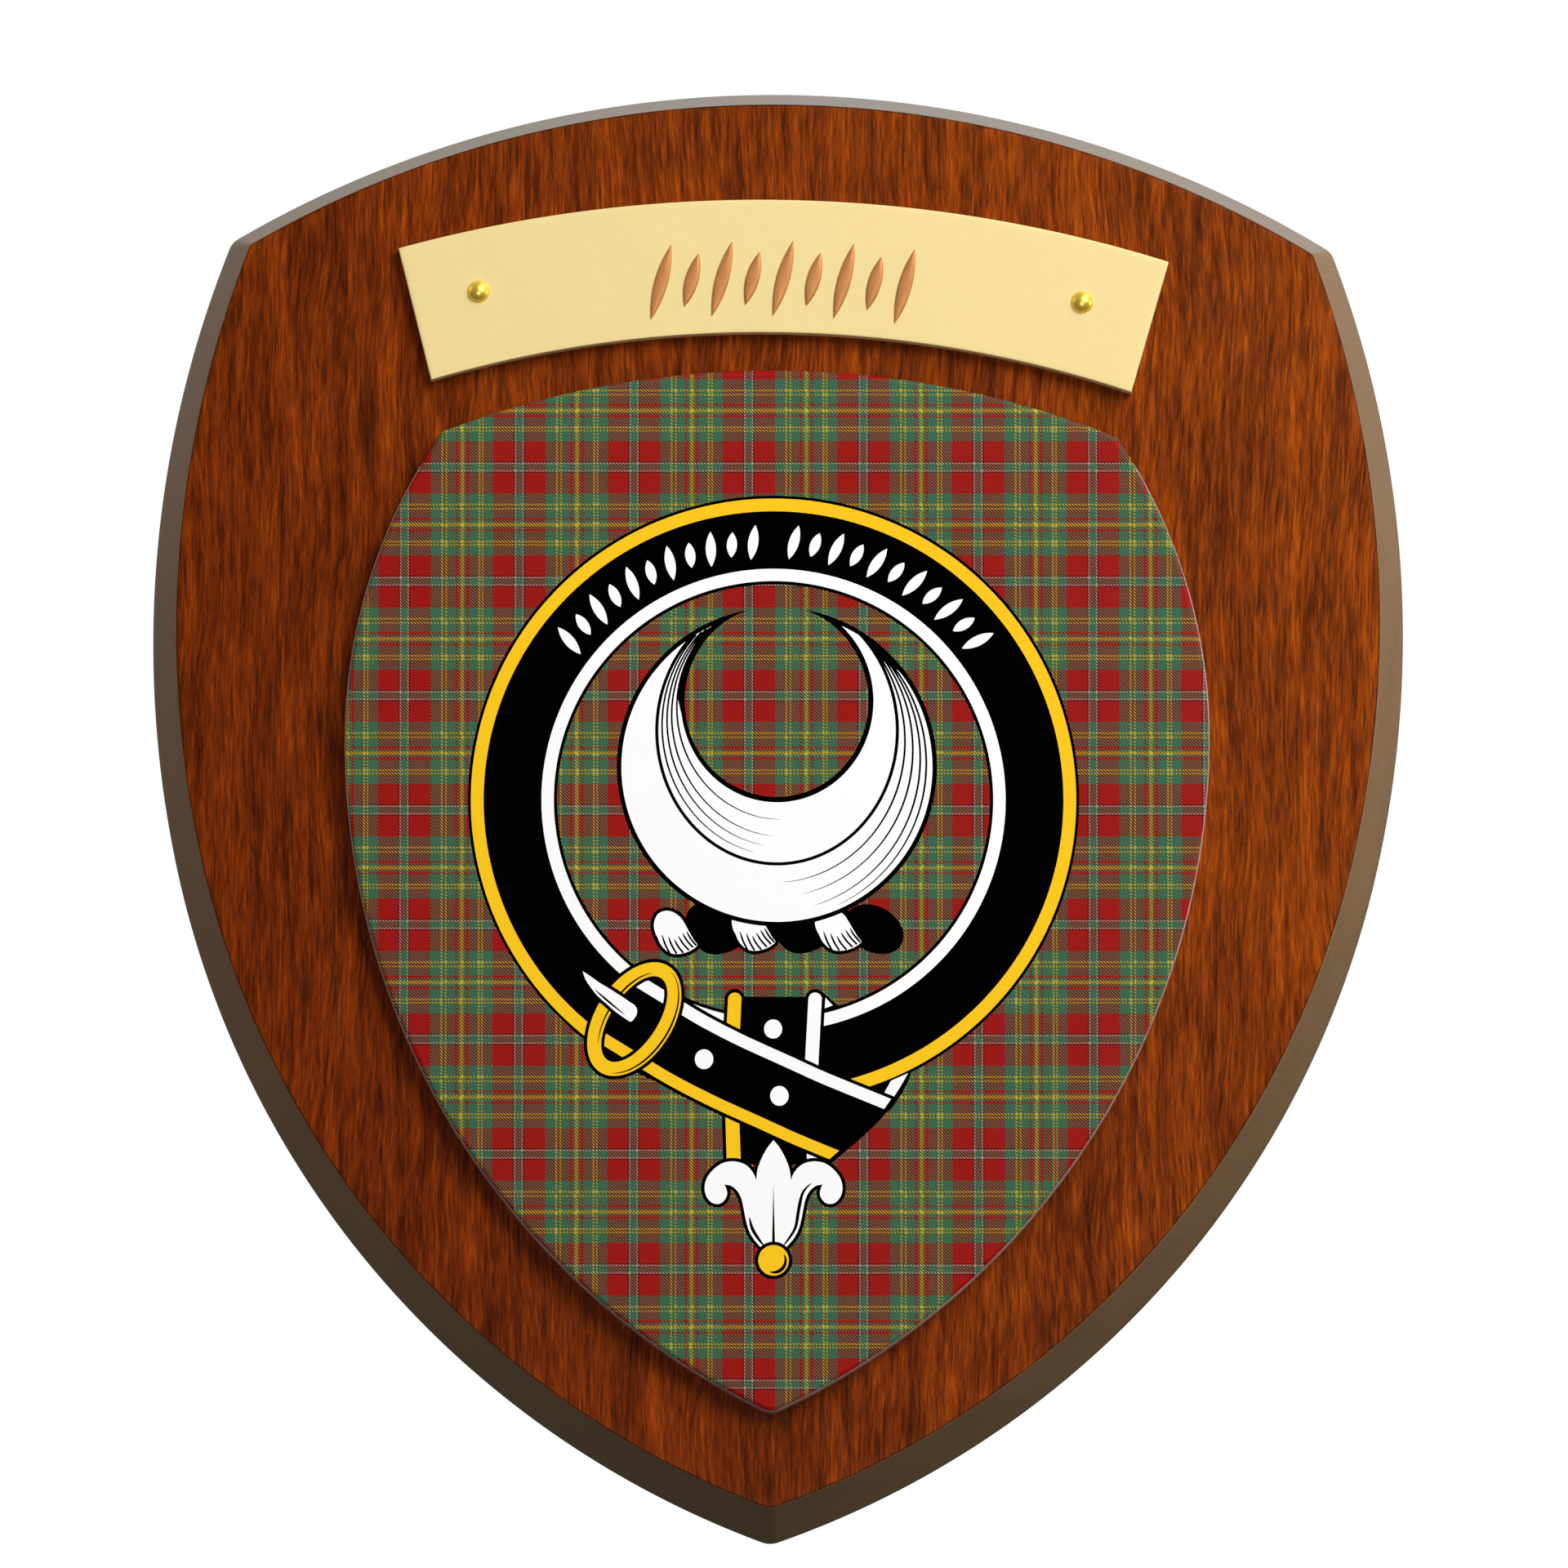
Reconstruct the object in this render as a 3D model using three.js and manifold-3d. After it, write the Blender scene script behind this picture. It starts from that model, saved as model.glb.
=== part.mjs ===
// A wooden wall shield: a bevelled board, a tartan panel, a brass name plate and its two pins.
// Millimetres, +Z up as it hangs. The back lies in the plane y = 0 and the front looks along -Y.
// The origin is on the back face, half way up the board.

import * as THREE from "three";
import { mergeVertices } from "three/addons/utils/BufferGeometryUtils.js";
import Module from "manifold-3d";

const wasm = await Module();
wasm.setup();

// Board: its outline at the back, and the bevel that narrows it to the front face
const BOARD_WIDTH = 152.4;
const BOARD_HEIGHT = 177.8;
const BOARD_THICKNESS = 15;
const BOARD_TOP_RADIUS = 129;
const BOARD_SIDE_RADIUS = 132;
const BOARD_WIDEST_ABOVE_MIDDLE = 22;
const BOARD_SIDE_TURN = THREE.MathUtils.degToRad(13);
const BOARD_CORNER_ROUND = 2.4;
const BOARD_TIP_ROUND = 3;
const BEVEL_RUN = 3.05;
const FRONT_CORNER_ROUND = 0.5;
const FRONT_ARRIS = 0.35;

// Keyhole slot in the back, for a screw in the wall
const KEYHOLE_BELOW_TOP = 38;
const KEYHOLE_ENTRY_DIAMETER = 9.5;
const KEYHOLE_NECK_WIDTH = 5;
const KEYHOLE_TRAVEL = 10;
const KEYHOLE_LIP = 3;
const KEYHOLE_DEPTH = 8;

// Panel: a smaller shield, glued flat on the front face. The borders are what it leaves bare of the
// board's outline at each side and at the tip.
const PANEL_SIDE_BORDER = 23.8;
const PANEL_TIP_BORDER = 14.5;
const PANEL_BELOW_PLATE = 4.7;
const PANEL_THICKNESS = 3;
const PANEL_TOP_RADIUS = 111;
const PANEL_SIDE_RADIUS = 66;
const PANEL_WIDEST_BELOW_TOP = 45;
const PANEL_CORNER_ROUND = 1.2;
const PANEL_TIP_ROUND = 2.5;
const PANEL_EDGE_ROUND = 0.7;

// Name plate: flat sheet cut to an arched strip. The chords run from corner to corner.
const PLATE_TOP_CHORD = 93.6;
const PLATE_BOTTOM_CHORD = 85;
const PLATE_TOP_RADIUS = 165;
const PLATE_BOTTOM_RADIUS = 141;
const PLATE_HEIGHT = 16.3;
const PLATE_THICKNESS = 2;
const PLATE_ARRIS = 0.15;
const PLATE_BELOW_BOARD_TOP = 15.4;
const PLATE_RIGHT_OF_MIDDLE = 0.3;
const PLATE_TURN = THREE.MathUtils.degToRad(0.5);

// Raised pen strokes along the plate, a little below the middle of its height
const STROKE_COUNT = 9;
const STROKE_PITCH = 3.7;
const STROKE_LONG = 9.6;
const STROKE_SHORT = 6.8;
const STROKE_WIDTH = 1.7;
const STROKE_RELIEF = 0.3;
const STROKE_LEAN = THREE.MathUtils.degToRad(14);
const STROKE_BELOW_PLATE_MIDDLE = 1.5;

// Pins through the plate
const PIN_HEAD_DIAMETER = 2.75;
const PIN_HEAD_HEIGHT = 0.95;
const PIN_SHANK_DIAMETER = 1.2;
const PIN_LENGTH = 10;
const PIN_POINT = 1.5;
const PIN_FROM_PLATE_END = 8;
const PIN_ABOVE_PLATE_MIDDLE = 0.7;
const PIN_CLEARANCE = 0.3;

// Fineness of the round shapes
const TOP_STEPS = 16;
const SIDE_STEPS = 13;
const TURN_STEPS = 3;
const LOWER_STEPS = 26;
const CORNER_STEPS = 5;
const TIP_STEPS = 4;
const EDGE_STEPS = 3;
const ROUND_SIDES = 24;
const STROKE_STEPS = 8;
const PLATE_STEPS = 40;

// How far a cutter stands out of the face that it cuts
const CUTTER_OVERRUN = 1;

// Places that follow from the sizes
const BOARD_TOP = BOARD_HEIGHT / 2;
const BOARD_FRONT = -BOARD_THICKNESS;
const PLATE_TOP = BOARD_TOP - PLATE_BELOW_BOARD_TOP;
const PANEL_TOP = PLATE_TOP - PLATE_HEIGHT - PANEL_BELOW_PLATE;
const PANEL_HEIGHT = PANEL_TOP + BOARD_TOP - PANEL_TIP_BORDER;
const PANEL_WIDTH = BOARD_WIDTH - 2 * PANEL_SIDE_BORDER;

// A point on a circle in the x, z plane. Angles run from +x towards +z.
function onCircle(centre, radius, angle) {
  return new THREE.Vector2(radius * Math.cos(angle), radius * Math.sin(angle)).add(centre);
}

// Points of an arc, without its first point.
function arcPoints(centre, radius, from, to, steps) {
  const step = (to - from) / steps;
  return Array.from({ length: steps }, (_, i) => onCircle(centre, radius, from + step * (i + 1)));
}

// Where two circles meet, on the right of the line from the first centre to the second.
function circlesMeet(first, firstRadius, second, secondRadius) {
  const line = second.clone().sub(first);
  const apart = line.length();
  const along = (apart ** 2 + firstRadius ** 2 - secondRadius ** 2) / (2 * apart);
  const across = Math.sqrt(firstRadius ** 2 - along ** 2);
  line.normalize();
  const right = new THREE.Vector2(line.y, -line.x);
  return first.clone().addScaledVector(line, along).addScaledVector(right, across);
}

// The arcs of a shield's right half. The side arc goes on below the widest level by sideTurn, and
// the lower arc takes over there without a kink and runs into the rounding at the tip.
function shieldArcs({ width, top, height, widest, topRadius, sideRadius, sideTurn, tipRound }) {
  const topCentre = new THREE.Vector2(0, top - topRadius);
  const sideCentre = new THREE.Vector2(width / 2 - sideRadius, widest);
  const joint = new THREE.Vector2(Math.cos(sideTurn), -Math.sin(sideTurn));
  const tipCentre = new THREE.Vector2(0, top - height + tipRound);
  const toTip = tipCentre.clone().sub(sideCentre);
  const reach = toTip.dot(joint);
  const lowerRadius =
    (toTip.lengthSq() - 2 * sideRadius * reach + sideRadius ** 2 - tipRound ** 2) /
    (2 * (sideRadius - reach - tipRound));
  const lowerCentre = sideCentre.clone().addScaledVector(joint, sideRadius - lowerRadius);
  return { topCentre, topRadius, sideCentre, sideRadius, sideTurn, lowerCentre, lowerRadius };
}

// A shield's closed outline, inset from its arcs, with its two corners and its tip rounded.
function shieldOutline(arcs, inset, cornerRound, tipRound) {
  const topRadius = arcs.topRadius - inset;
  const sideRadius = arcs.sideRadius - inset;
  const lowerRadius = arcs.lowerRadius - inset;
  const corner = circlesMeet(
    arcs.topCentre,
    topRadius - cornerRound,
    arcs.sideCentre,
    sideRadius - cornerRound,
  );
  const tipDrop = Math.sqrt((lowerRadius - tipRound) ** 2 - arcs.lowerCentre.x ** 2);
  const tip = new THREE.Vector2(0, arcs.lowerCentre.y - tipDrop);
  const tipAngle = tip.clone().sub(arcs.lowerCentre).angle() - 2 * Math.PI;
  const sideEnd = corner.clone().sub(arcs.sideCentre).angle();
  const topStart = corner.clone().sub(arcs.topCentre).angle();
  const turnSteps = arcs.sideTurn ? TURN_STEPS : 0;
  const right = [
    new THREE.Vector2(0, tip.y - tipRound),
    ...arcPoints(tip, tipRound, -Math.PI / 2, tipAngle, TIP_STEPS),
    ...arcPoints(arcs.lowerCentre, lowerRadius, tipAngle, -arcs.sideTurn, LOWER_STEPS),
    ...arcPoints(arcs.sideCentre, sideRadius, -arcs.sideTurn, 0, turnSteps),
    ...arcPoints(arcs.sideCentre, sideRadius, 0, sideEnd, SIDE_STEPS),
    ...arcPoints(corner, cornerRound, sideEnd, topStart, CORNER_STEPS),
    ...arcPoints(arcs.topCentre, topRadius, topStart, Math.PI / 2, TOP_STEPS),
  ];
  const left = right.slice(1, -1).reverse().map((p) => new THREE.Vector2(-p.x, p.y));
  return [...right, ...left];
}

// A closed body through a stack of outlines from back to front, each at its own depth y.
// Every outline has the same number of points, so the walls are strips of quads.
function stackedBody(rings) {
  const count = rings[0].outline.length;
  const positions = rings.flatMap(({ outline, y }) => outline.flatMap((p) => [p.x, y, p.y]));
  const indices = [];
  for (let ring = 0; ring + 1 < rings.length; ring += 1) {
    for (let i = 0; i < count; i += 1) {
      const next = (i + 1) % count;
      const [a, b] = [ring * count + i, ring * count + next];
      indices.push(a, b, a + count, b, b + count, a + count);
    }
  }
  const front = (rings.length - 1) * count;
  for (const [a, b, c] of THREE.ShapeUtils.triangulateShape(rings[0].outline, [])) {
    indices.push(a, c, b);
  }
  for (const [a, b, c] of THREE.ShapeUtils.triangulateShape(rings.at(-1).outline, [])) {
    indices.push(front + a, front + b, front + c);
  }
  const geometry = new THREE.BufferGeometry();
  geometry.setAttribute("position", new THREE.Float32BufferAttribute(positions, 3));
  geometry.setIndex(indices);
  return geometry;
}

// A closed geometry as a solid that can be joined and cut.
function toSolid(geometry) {
  const bare = geometry.clone();
  bare.deleteAttribute("normal");
  bare.deleteAttribute("uv");
  const merged = mergeVertices(bare);
  return new wasm.Manifold(
    new wasm.Mesh({
      numProp: 3,
      vertProperties: new Float32Array(merged.attributes.position.array),
      triVerts: new Uint32Array(merged.index.array),
    }),
  );
}

// A solid back as a geometry.
function toGeometry(solid) {
  const mesh = solid.getMesh();
  const geometry = new THREE.BufferGeometry();
  geometry.setAttribute("position", new THREE.BufferAttribute(mesh.vertProperties, 3));
  geometry.setIndex(new THREE.BufferAttribute(mesh.triVerts, 1));
  geometry.computeVertexNormals();
  return geometry;
}

// A shape in the x, z plane pushed through from one depth to another, back to front.
function pushed(shape, back, front) {
  const geometry = new THREE.ExtrudeGeometry(shape, {
    depth: back - front,
    bevelEnabled: false,
    curveSegments: ROUND_SIDES / 2,
  });
  return geometry.rotateX(Math.PI / 2).translate(0, back, 0);
}

// A slot with round ends, from a centre at z = low to one at z = high.
function slotShape(width, low, high) {
  const shape = new THREE.Shape();
  shape.absarc(0, low, width / 2, Math.PI, 2 * Math.PI, false);
  shape.absarc(0, high, width / 2, 0, Math.PI, false);
  return shape;
}

// A round cutter along Y, centred on a place, between two depths.
function holeCutter(place, diameter, front, back) {
  const length = back - front;
  const cutter = new THREE.CylinderGeometry(diameter / 2, diameter / 2, length, ROUND_SIDES);
  return cutter.translate(place.x, (back + front) / 2, place.z);
}

function named(name, geometry, color, roughness, metalness) {
  const mesh = new THREE.Mesh(geometry, new THREE.MeshStandardMaterial({ color, roughness, metalness }));
  mesh.name = name;
  return mesh;
}

// The plate and its pins share one slightly turned frame, whose origin is on the board's front
// face at the top of the plate. The pins stand the same distance from the board's middle line.
const plateFrame = new THREE.Group();
plateFrame.position.set(PLATE_RIGHT_OF_MIDDLE, BOARD_FRONT, PLATE_TOP);
plateFrame.rotation.y = PLATE_TURN;
plateFrame.updateMatrix();

// How far an arc drops from its crown at a distance x to one side.
function arcDrop(radius, x) {
  return radius - Math.sqrt(radius ** 2 - x ** 2);
}

// The level half way between the plate's two arcs, in the plate's frame.
function plateMiddle(x) {
  return -(PLATE_HEIGHT + arcDrop(PLATE_TOP_RADIUS, x) + arcDrop(PLATE_BOTTOM_RADIUS, x)) / 2;
}

// A pin's place in the plate's frame: -1 for the left pin and 1 for the right one.
function pinPlace(side) {
  const x = (PLATE_TOP_CHORD + PLATE_BOTTOM_CHORD) / 4 - PIN_FROM_PLATE_END;
  return new THREE.Vector3(side * x - PLATE_RIGHT_OF_MIDDLE, 0, plateMiddle(x) + PIN_ABOVE_PLATE_MIDDLE);
}

function keyholeCutter() {
  const entry = BOARD_TOP - KEYHOLE_BELOW_TOP;
  const end = entry + KEYHOLE_TRAVEL;
  const mouth = pushed(slotShape(KEYHOLE_ENTRY_DIAMETER, entry, entry), CUTTER_OVERRUN, -KEYHOLE_DEPTH);
  const neck = pushed(slotShape(KEYHOLE_NECK_WIDTH, entry, end), CUTTER_OVERRUN, -KEYHOLE_DEPTH);
  const channel = pushed(slotShape(KEYHOLE_ENTRY_DIAMETER, entry, end), -KEYHOLE_LIP, -KEYHOLE_DEPTH);
  return toSolid(mouth).add(toSolid(neck)).add(toSolid(channel));
}

function makeBoard() {
  const arcs = shieldArcs({
    width: BOARD_WIDTH,
    top: BOARD_TOP,
    height: BOARD_HEIGHT,
    widest: BOARD_WIDEST_ABOVE_MIDDLE,
    topRadius: BOARD_TOP_RADIUS,
    sideRadius: BOARD_SIDE_RADIUS,
    sideTurn: BOARD_SIDE_TURN,
    tipRound: BOARD_TIP_ROUND,
  });
  const inner = (inset) => shieldOutline(arcs, inset, FRONT_CORNER_ROUND, FRONT_CORNER_ROUND);
  const body = stackedBody([
    { outline: shieldOutline(arcs, 0, BOARD_CORNER_ROUND, BOARD_TIP_ROUND), y: 0 },
    { outline: inner(BEVEL_RUN), y: BOARD_FRONT + FRONT_ARRIS },
    { outline: inner(BEVEL_RUN + FRONT_ARRIS), y: BOARD_FRONT },
  ]);
  let solid = toSolid(body).subtract(keyholeCutter());
  for (const side of [-1, 1]) {
    const place = pinPlace(side).applyMatrix4(plateFrame.matrix);
    const deepest = BOARD_FRONT + PIN_LENGTH - PLATE_THICKNESS + PIN_CLEARANCE;
    const hole = holeCutter(
      place,
      PIN_SHANK_DIAMETER + 2 * PIN_CLEARANCE,
      BOARD_FRONT - CUTTER_OVERRUN,
      deepest,
    );
    solid = solid.subtract(toSolid(hole));
  }
  return named("board", toGeometry(solid), 0x7a3210, 0.35, 0);
}

function makePanel() {
  const arcs = shieldArcs({
    width: PANEL_WIDTH,
    top: PANEL_TOP,
    height: PANEL_HEIGHT,
    widest: PANEL_TOP - PANEL_WIDEST_BELOW_TOP,
    topRadius: PANEL_TOP_RADIUS,
    sideRadius: PANEL_SIDE_RADIUS,
    sideTurn: 0,
    tipRound: PANEL_TIP_ROUND,
  });
  const front = BOARD_FRONT - PANEL_THICKNESS;
  const rings = [{ outline: shieldOutline(arcs, 0, PANEL_CORNER_ROUND, PANEL_TIP_ROUND), y: BOARD_FRONT }];
  for (let step = 0; step <= EDGE_STEPS; step += 1) {
    const angle = ((Math.PI / 2) * step) / EDGE_STEPS;
    const inset = PANEL_EDGE_ROUND * (1 - Math.cos(angle));
    const outline = shieldOutline(arcs, inset, PANEL_CORNER_ROUND - inset, PANEL_TIP_ROUND - inset);
    rings.push({ outline, y: front + PANEL_EDGE_ROUND * (1 - Math.sin(angle)) });
  }
  return named("tartan_panel", stackedBody(rings), 0x8c3a2c, 0.5, 0);
}

// The plate's outline, inset by a little: two arcs, bulging upwards, and two straight leaning ends.
function plateOutline(inset) {
  const topDrop = arcDrop(PLATE_TOP_RADIUS, PLATE_TOP_CHORD / 2);
  const bottomDrop = arcDrop(PLATE_BOTTOM_RADIUS, PLATE_BOTTOM_CHORD / 2);
  const lean = Math.atan2((PLATE_TOP_CHORD - PLATE_BOTTOM_CHORD) / 2, PLATE_HEIGHT + bottomDrop - topDrop);
  const shorten = inset / Math.cos(lean);
  const topCentre = new THREE.Vector2(0, -PLATE_TOP_RADIUS);
  const bottomCentre = new THREE.Vector2(0, -PLATE_HEIGHT - PLATE_BOTTOM_RADIUS);
  const topHalf = Math.asin((PLATE_TOP_CHORD / 2 - shorten) / PLATE_TOP_RADIUS);
  const bottomHalf = Math.asin((PLATE_BOTTOM_CHORD / 2 - shorten) / PLATE_BOTTOM_RADIUS);
  const topRadius = PLATE_TOP_RADIUS - inset;
  const bottomRadius = PLATE_BOTTOM_RADIUS + inset;
  const up = Math.PI / 2;
  return [
    onCircle(bottomCentre, bottomRadius, up + bottomHalf),
    ...arcPoints(bottomCentre, bottomRadius, up + bottomHalf, up - bottomHalf, PLATE_STEPS),
    onCircle(topCentre, topRadius, up - topHalf),
    ...arcPoints(topCentre, topRadius, up - topHalf, up + topHalf, PLATE_STEPS),
  ];
}

// One pen stroke: a lens between two arcs, leaning to the right, standing on the plate.
function strokeSolid(x, z, long, back, front) {
  const half = STROKE_WIDTH / 2;
  const radius = ((long / 2) ** 2 + half ** 2) / STROKE_WIDTH;
  const spread = Math.asin(long / 2 / radius);
  const left = new THREE.Vector2(half - radius, 0);
  const right = left.clone().negate();
  const shape = new THREE.Shape([
    ...arcPoints(left, radius, -spread, spread, STROKE_STEPS),
    ...arcPoints(right, radius, Math.PI - spread, Math.PI + spread, STROKE_STEPS),
  ]);
  return toSolid(pushed(shape, back, front).rotateY(STROKE_LEAN).translate(x, 0, z));
}

function makePlate() {
  const front = -PLATE_THICKNESS;
  let solid = toSolid(
    stackedBody([
      { outline: plateOutline(0), y: 0 },
      { outline: plateOutline(0), y: front + PLATE_ARRIS },
      { outline: plateOutline(PLATE_ARRIS), y: front },
    ]),
  );
  const middle = (STROKE_COUNT - 1) / 2;
  for (let i = 0; i < STROKE_COUNT; i += 1) {
    const x = (i - middle) * STROKE_PITCH;
    const long = i % 2 ? STROKE_SHORT : STROKE_LONG;
    const z = plateMiddle(x) - STROKE_BELOW_PLATE_MIDDLE;
    solid = solid.add(strokeSolid(x, z, long, front / 2, front - STROKE_RELIEF));
  }
  for (const side of [-1, 1]) {
    const hole = holeCutter(
      pinPlace(side),
      PIN_SHANK_DIAMETER + 2 * PIN_CLEARANCE,
      front - CUTTER_OVERRUN,
      CUTTER_OVERRUN,
    );
    solid = solid.subtract(toSolid(hole));
  }
  return named("name_plate", toGeometry(solid), 0xf0dc9a, 0.35, 0.9);
}

// A dome-headed pin, turned about its own axis. The head's underside rests on the plate.
function makePin(name, side) {
  const headRadius = PIN_HEAD_DIAMETER / 2;
  const shankRadius = PIN_SHANK_DIAMETER / 2;
  const domeRadius = (headRadius ** 2 + PIN_HEAD_HEIGHT ** 2) / (2 * PIN_HEAD_HEIGHT);
  const domeAngle = Math.asin(headRadius / domeRadius);
  const profile = [
    new THREE.Vector2(0, PIN_LENGTH),
    new THREE.Vector2(shankRadius, PIN_LENGTH - PIN_POINT),
    new THREE.Vector2(shankRadius, 0),
  ];
  for (let step = 0; step <= STROKE_STEPS; step += 1) {
    const angle = domeAngle * (1 - step / STROKE_STEPS);
    const y = domeRadius - PIN_HEAD_HEIGHT - domeRadius * Math.cos(angle);
    profile.push(new THREE.Vector2(domeRadius * Math.sin(angle), y));
  }
  const geometry = new THREE.LatheGeometry(profile.reverse(), ROUND_SIDES);
  const pin = named(name, geometry, 0xe0b040, 0.2, 1);
  pin.position.copy(pinPlace(side)).setY(-PLATE_THICKNESS);
  return pin;
}

plateFrame.add(makePlate(), makePin("pin_left", -1), makePin("pin_right", 1));

const plaque = new THREE.Group();
plaque.add(makeBoard(), makePanel(), plateFrame);

export default plaque;
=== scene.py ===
"""Looks of a wooden heraldic shield plaque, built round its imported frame.

Lengths are millimetres in the row frame and turn into metres when a mesh is made. The front looks
along -Y, +X is to the right of someone who looks at the front, and +Z is up.
"""

import logging
import math
from collections.abc import Callable, Sequence
from dataclasses import dataclass, field
from enum import Enum, IntEnum

import bpy
import bmesh
import numpy as np
from mathutils import Matrix, Vector
from mathutils.geometry import delaunay_2d_cdt


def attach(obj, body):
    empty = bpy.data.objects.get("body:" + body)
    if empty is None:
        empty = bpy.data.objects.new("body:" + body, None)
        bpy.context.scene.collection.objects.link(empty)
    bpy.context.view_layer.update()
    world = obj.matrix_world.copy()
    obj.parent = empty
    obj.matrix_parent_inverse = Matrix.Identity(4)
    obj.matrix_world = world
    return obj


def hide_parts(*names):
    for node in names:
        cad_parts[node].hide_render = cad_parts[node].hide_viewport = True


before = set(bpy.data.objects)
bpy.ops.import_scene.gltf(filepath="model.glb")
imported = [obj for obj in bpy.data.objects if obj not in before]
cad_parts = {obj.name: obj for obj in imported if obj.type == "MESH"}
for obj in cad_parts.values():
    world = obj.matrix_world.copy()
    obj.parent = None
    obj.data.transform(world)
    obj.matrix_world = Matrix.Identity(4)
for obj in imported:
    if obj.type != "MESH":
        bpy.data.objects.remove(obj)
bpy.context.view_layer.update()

Array = np.ndarray
Point = Sequence[float]
Socket = bpy.types.NodeSocket
Value = Socket | float
Tint = Socket | Sequence[float]
Node = bpy.types.Node
Material = bpy.types.Material
Piece = bpy.types.Object
METRE = 0.001
FULL_TURN = 2 * math.pi
RIGHT_ANGLE = math.pi / 2
TINY = 1e-9
WELD = 2e-7
CUT_TOLERANCE = 1e-4

logging.basicConfig(level=logging.INFO, format="%(name)s: %(message)s")
log = logging.getLogger("plaque")


# ---------------------------------------------------------------- curves in a plane


def turned(points: Array, angle: float) -> Array:
    """Points turned about the origin by an angle, counter-clockwise."""
    c, s = math.cos(angle), math.sin(angle)
    return points @ np.array([[c, s], [-s, c]])


def heading(line: Array) -> float:
    """The angle of a line, counter-clockwise from +X."""
    return math.atan2(line[1], line[0])


def arc(centre: Point, radius: float, start: float, end: float, steps: int, whole: bool = False) -> Array:
    """A circular arc: centre + radius * (cos, sin).

    Args:
        centre: the circle's centre.
        radius: its radius.
        start: the angle that the arc leaves from, in radians.
        end: the angle that it reaches.
        steps: how many steps it takes.
        whole: whether it keeps its first point.

    Returns:
        The points.
    """
    angles = np.linspace(start, end, steps + 1)[0 if whole else 1 :]
    return np.asarray(centre) + radius * np.stack([np.cos(angles), np.sin(angles)], axis=1)


def ellipse(
    centre: Point, radii: Point, tilt: float = 0.0, start: float = 0.0, sweep: float = FULL_TURN,
    steps: int = 120,
) -> Array:
    """An ellipse or a part of one: (a cos t, b sin t), turned by the tilt, plus the centre.

    Args:
        centre: the middle of the ellipse.
        radii: its two half axes.
        tilt: its turn, in radians.
        start: the first value of t.
        sweep: how far t goes on from there, below zero for the other way round.
        steps: the number of points.

    Returns:
        The points. A full turn doesn't repeat its first one.
    """
    full = abs(abs(sweep) - FULL_TURN) < TINY
    t = start + np.linspace(0, sweep, steps, endpoint=not full)
    return np.asarray(centre) + turned(np.stack([radii[0] * np.cos(t), radii[1] * np.sin(t)], axis=1), tilt)


def smooth(points: Sequence[Point], steps: int = 6) -> Array:
    """An open Catmull-Rom curve: between two points a cubic leaves and meets each one along the
    line between its two neighbours.

    Args:
        points: the points that the curve passes.
        steps: how many points it gets from each one to the next.

    Returns:
        The curve's points, first and last point included.
    """
    p = np.asarray(points, float)
    p = np.vstack([2 * p[0] - p[1], p, 2 * p[-1] - p[-2]])
    t = np.linspace(0, 1, steps, endpoint=False)[None, :, None]
    a, b, c, d = (p[i : len(p) - 3 + i, None] for i in range(4))
    cubic = 2 * b + (c - a) * t + (2 * a - 5 * b + 4 * c - d) * t**2 + (3 * b - a - 3 * c + d) * t**3
    return np.vstack([(cubic / 2).reshape(-1, 2), p[-2]])


def smooth_loop(points: Array, steps: int) -> Array:
    """The same curve, closed: it runs on past both ends, and one full round is kept."""
    longer = np.vstack([points[-2:], points, points[:3]])
    return smooth(longer, steps)[2 * steps : (2 + len(points)) * steps]


def shifted(path: Array, distance: float | Array, closed: bool = False) -> Array:
    """A path moved sideways: each point goes along the curve's right-hand normal.

    Args:
        path: the points.
        distance: how far each one moves to the right of the way that the path runs.
        closed: whether the last point joins the first.

    Returns:
        The moved points.
    """
    if closed:
        along = np.roll(path, -1, axis=0) - np.roll(path, 1, axis=0)
    else:
        along = np.gradient(path, axis=0)
    along = along / np.maximum(np.linalg.norm(along, axis=1, keepdims=True), TINY)
    return path + np.stack([along[:, 1], -along[:, 0]], axis=1) * np.reshape(distance, (-1, 1))


def facing_up(loop: Array) -> Array:
    """How far up a loop's outward normal points, from -1 to 1, at each point."""
    return (shifted(loop, 1.0, closed=True) - loop)[:, 1]


def tapered(path: Array, width: float, head: float = 0.0, tail: float = 0.0) -> Array:
    """The outline of a pen line: its width grows over the first third of the way and falls over the
    last half, both as a square root does.

    Args:
        path: the line's middle.
        width: its widest width.
        head: the share of the width that it starts with.
        tail: the share that it ends with.

    Returns:
        A closed loop.
    """
    along = np.linspace(0, 1, len(path))
    rise = head + (1 - head) * np.sqrt(np.clip(along * 3, 0, 1))
    fall = tail + (1 - tail) * np.sqrt(np.clip((1 - along) * 2, 0, 1))
    half = width / 2 * rise * fall
    return np.vstack([shifted(path, half), shifted(path, -half)[::-1]])


def lens(centre: Point, length: float, width: float, turn: float, steps: int = 14) -> Array:
    """A pen stroke's outline: the common part of two equal discs, turned clockwise.

    Args:
        centre: the middle of the stroke.
        length: from tip to tip, upright before the turn.
        width: at its middle.
        turn: in radians.
        steps: points to each side.

    Returns:
        A closed loop.
    """
    radius = ((length / 2) ** 2 + (width / 2) ** 2) / width
    spread = math.asin(length / 2 / radius)
    sides = [
        arc((side * (width / 2 - radius), 0), radius, middle - spread, middle + spread, steps)
        for side, middle in ((1, 0), (-1, math.pi))
    ]
    return np.asarray(centre) + turned(np.vstack(sides), -turn)


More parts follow.
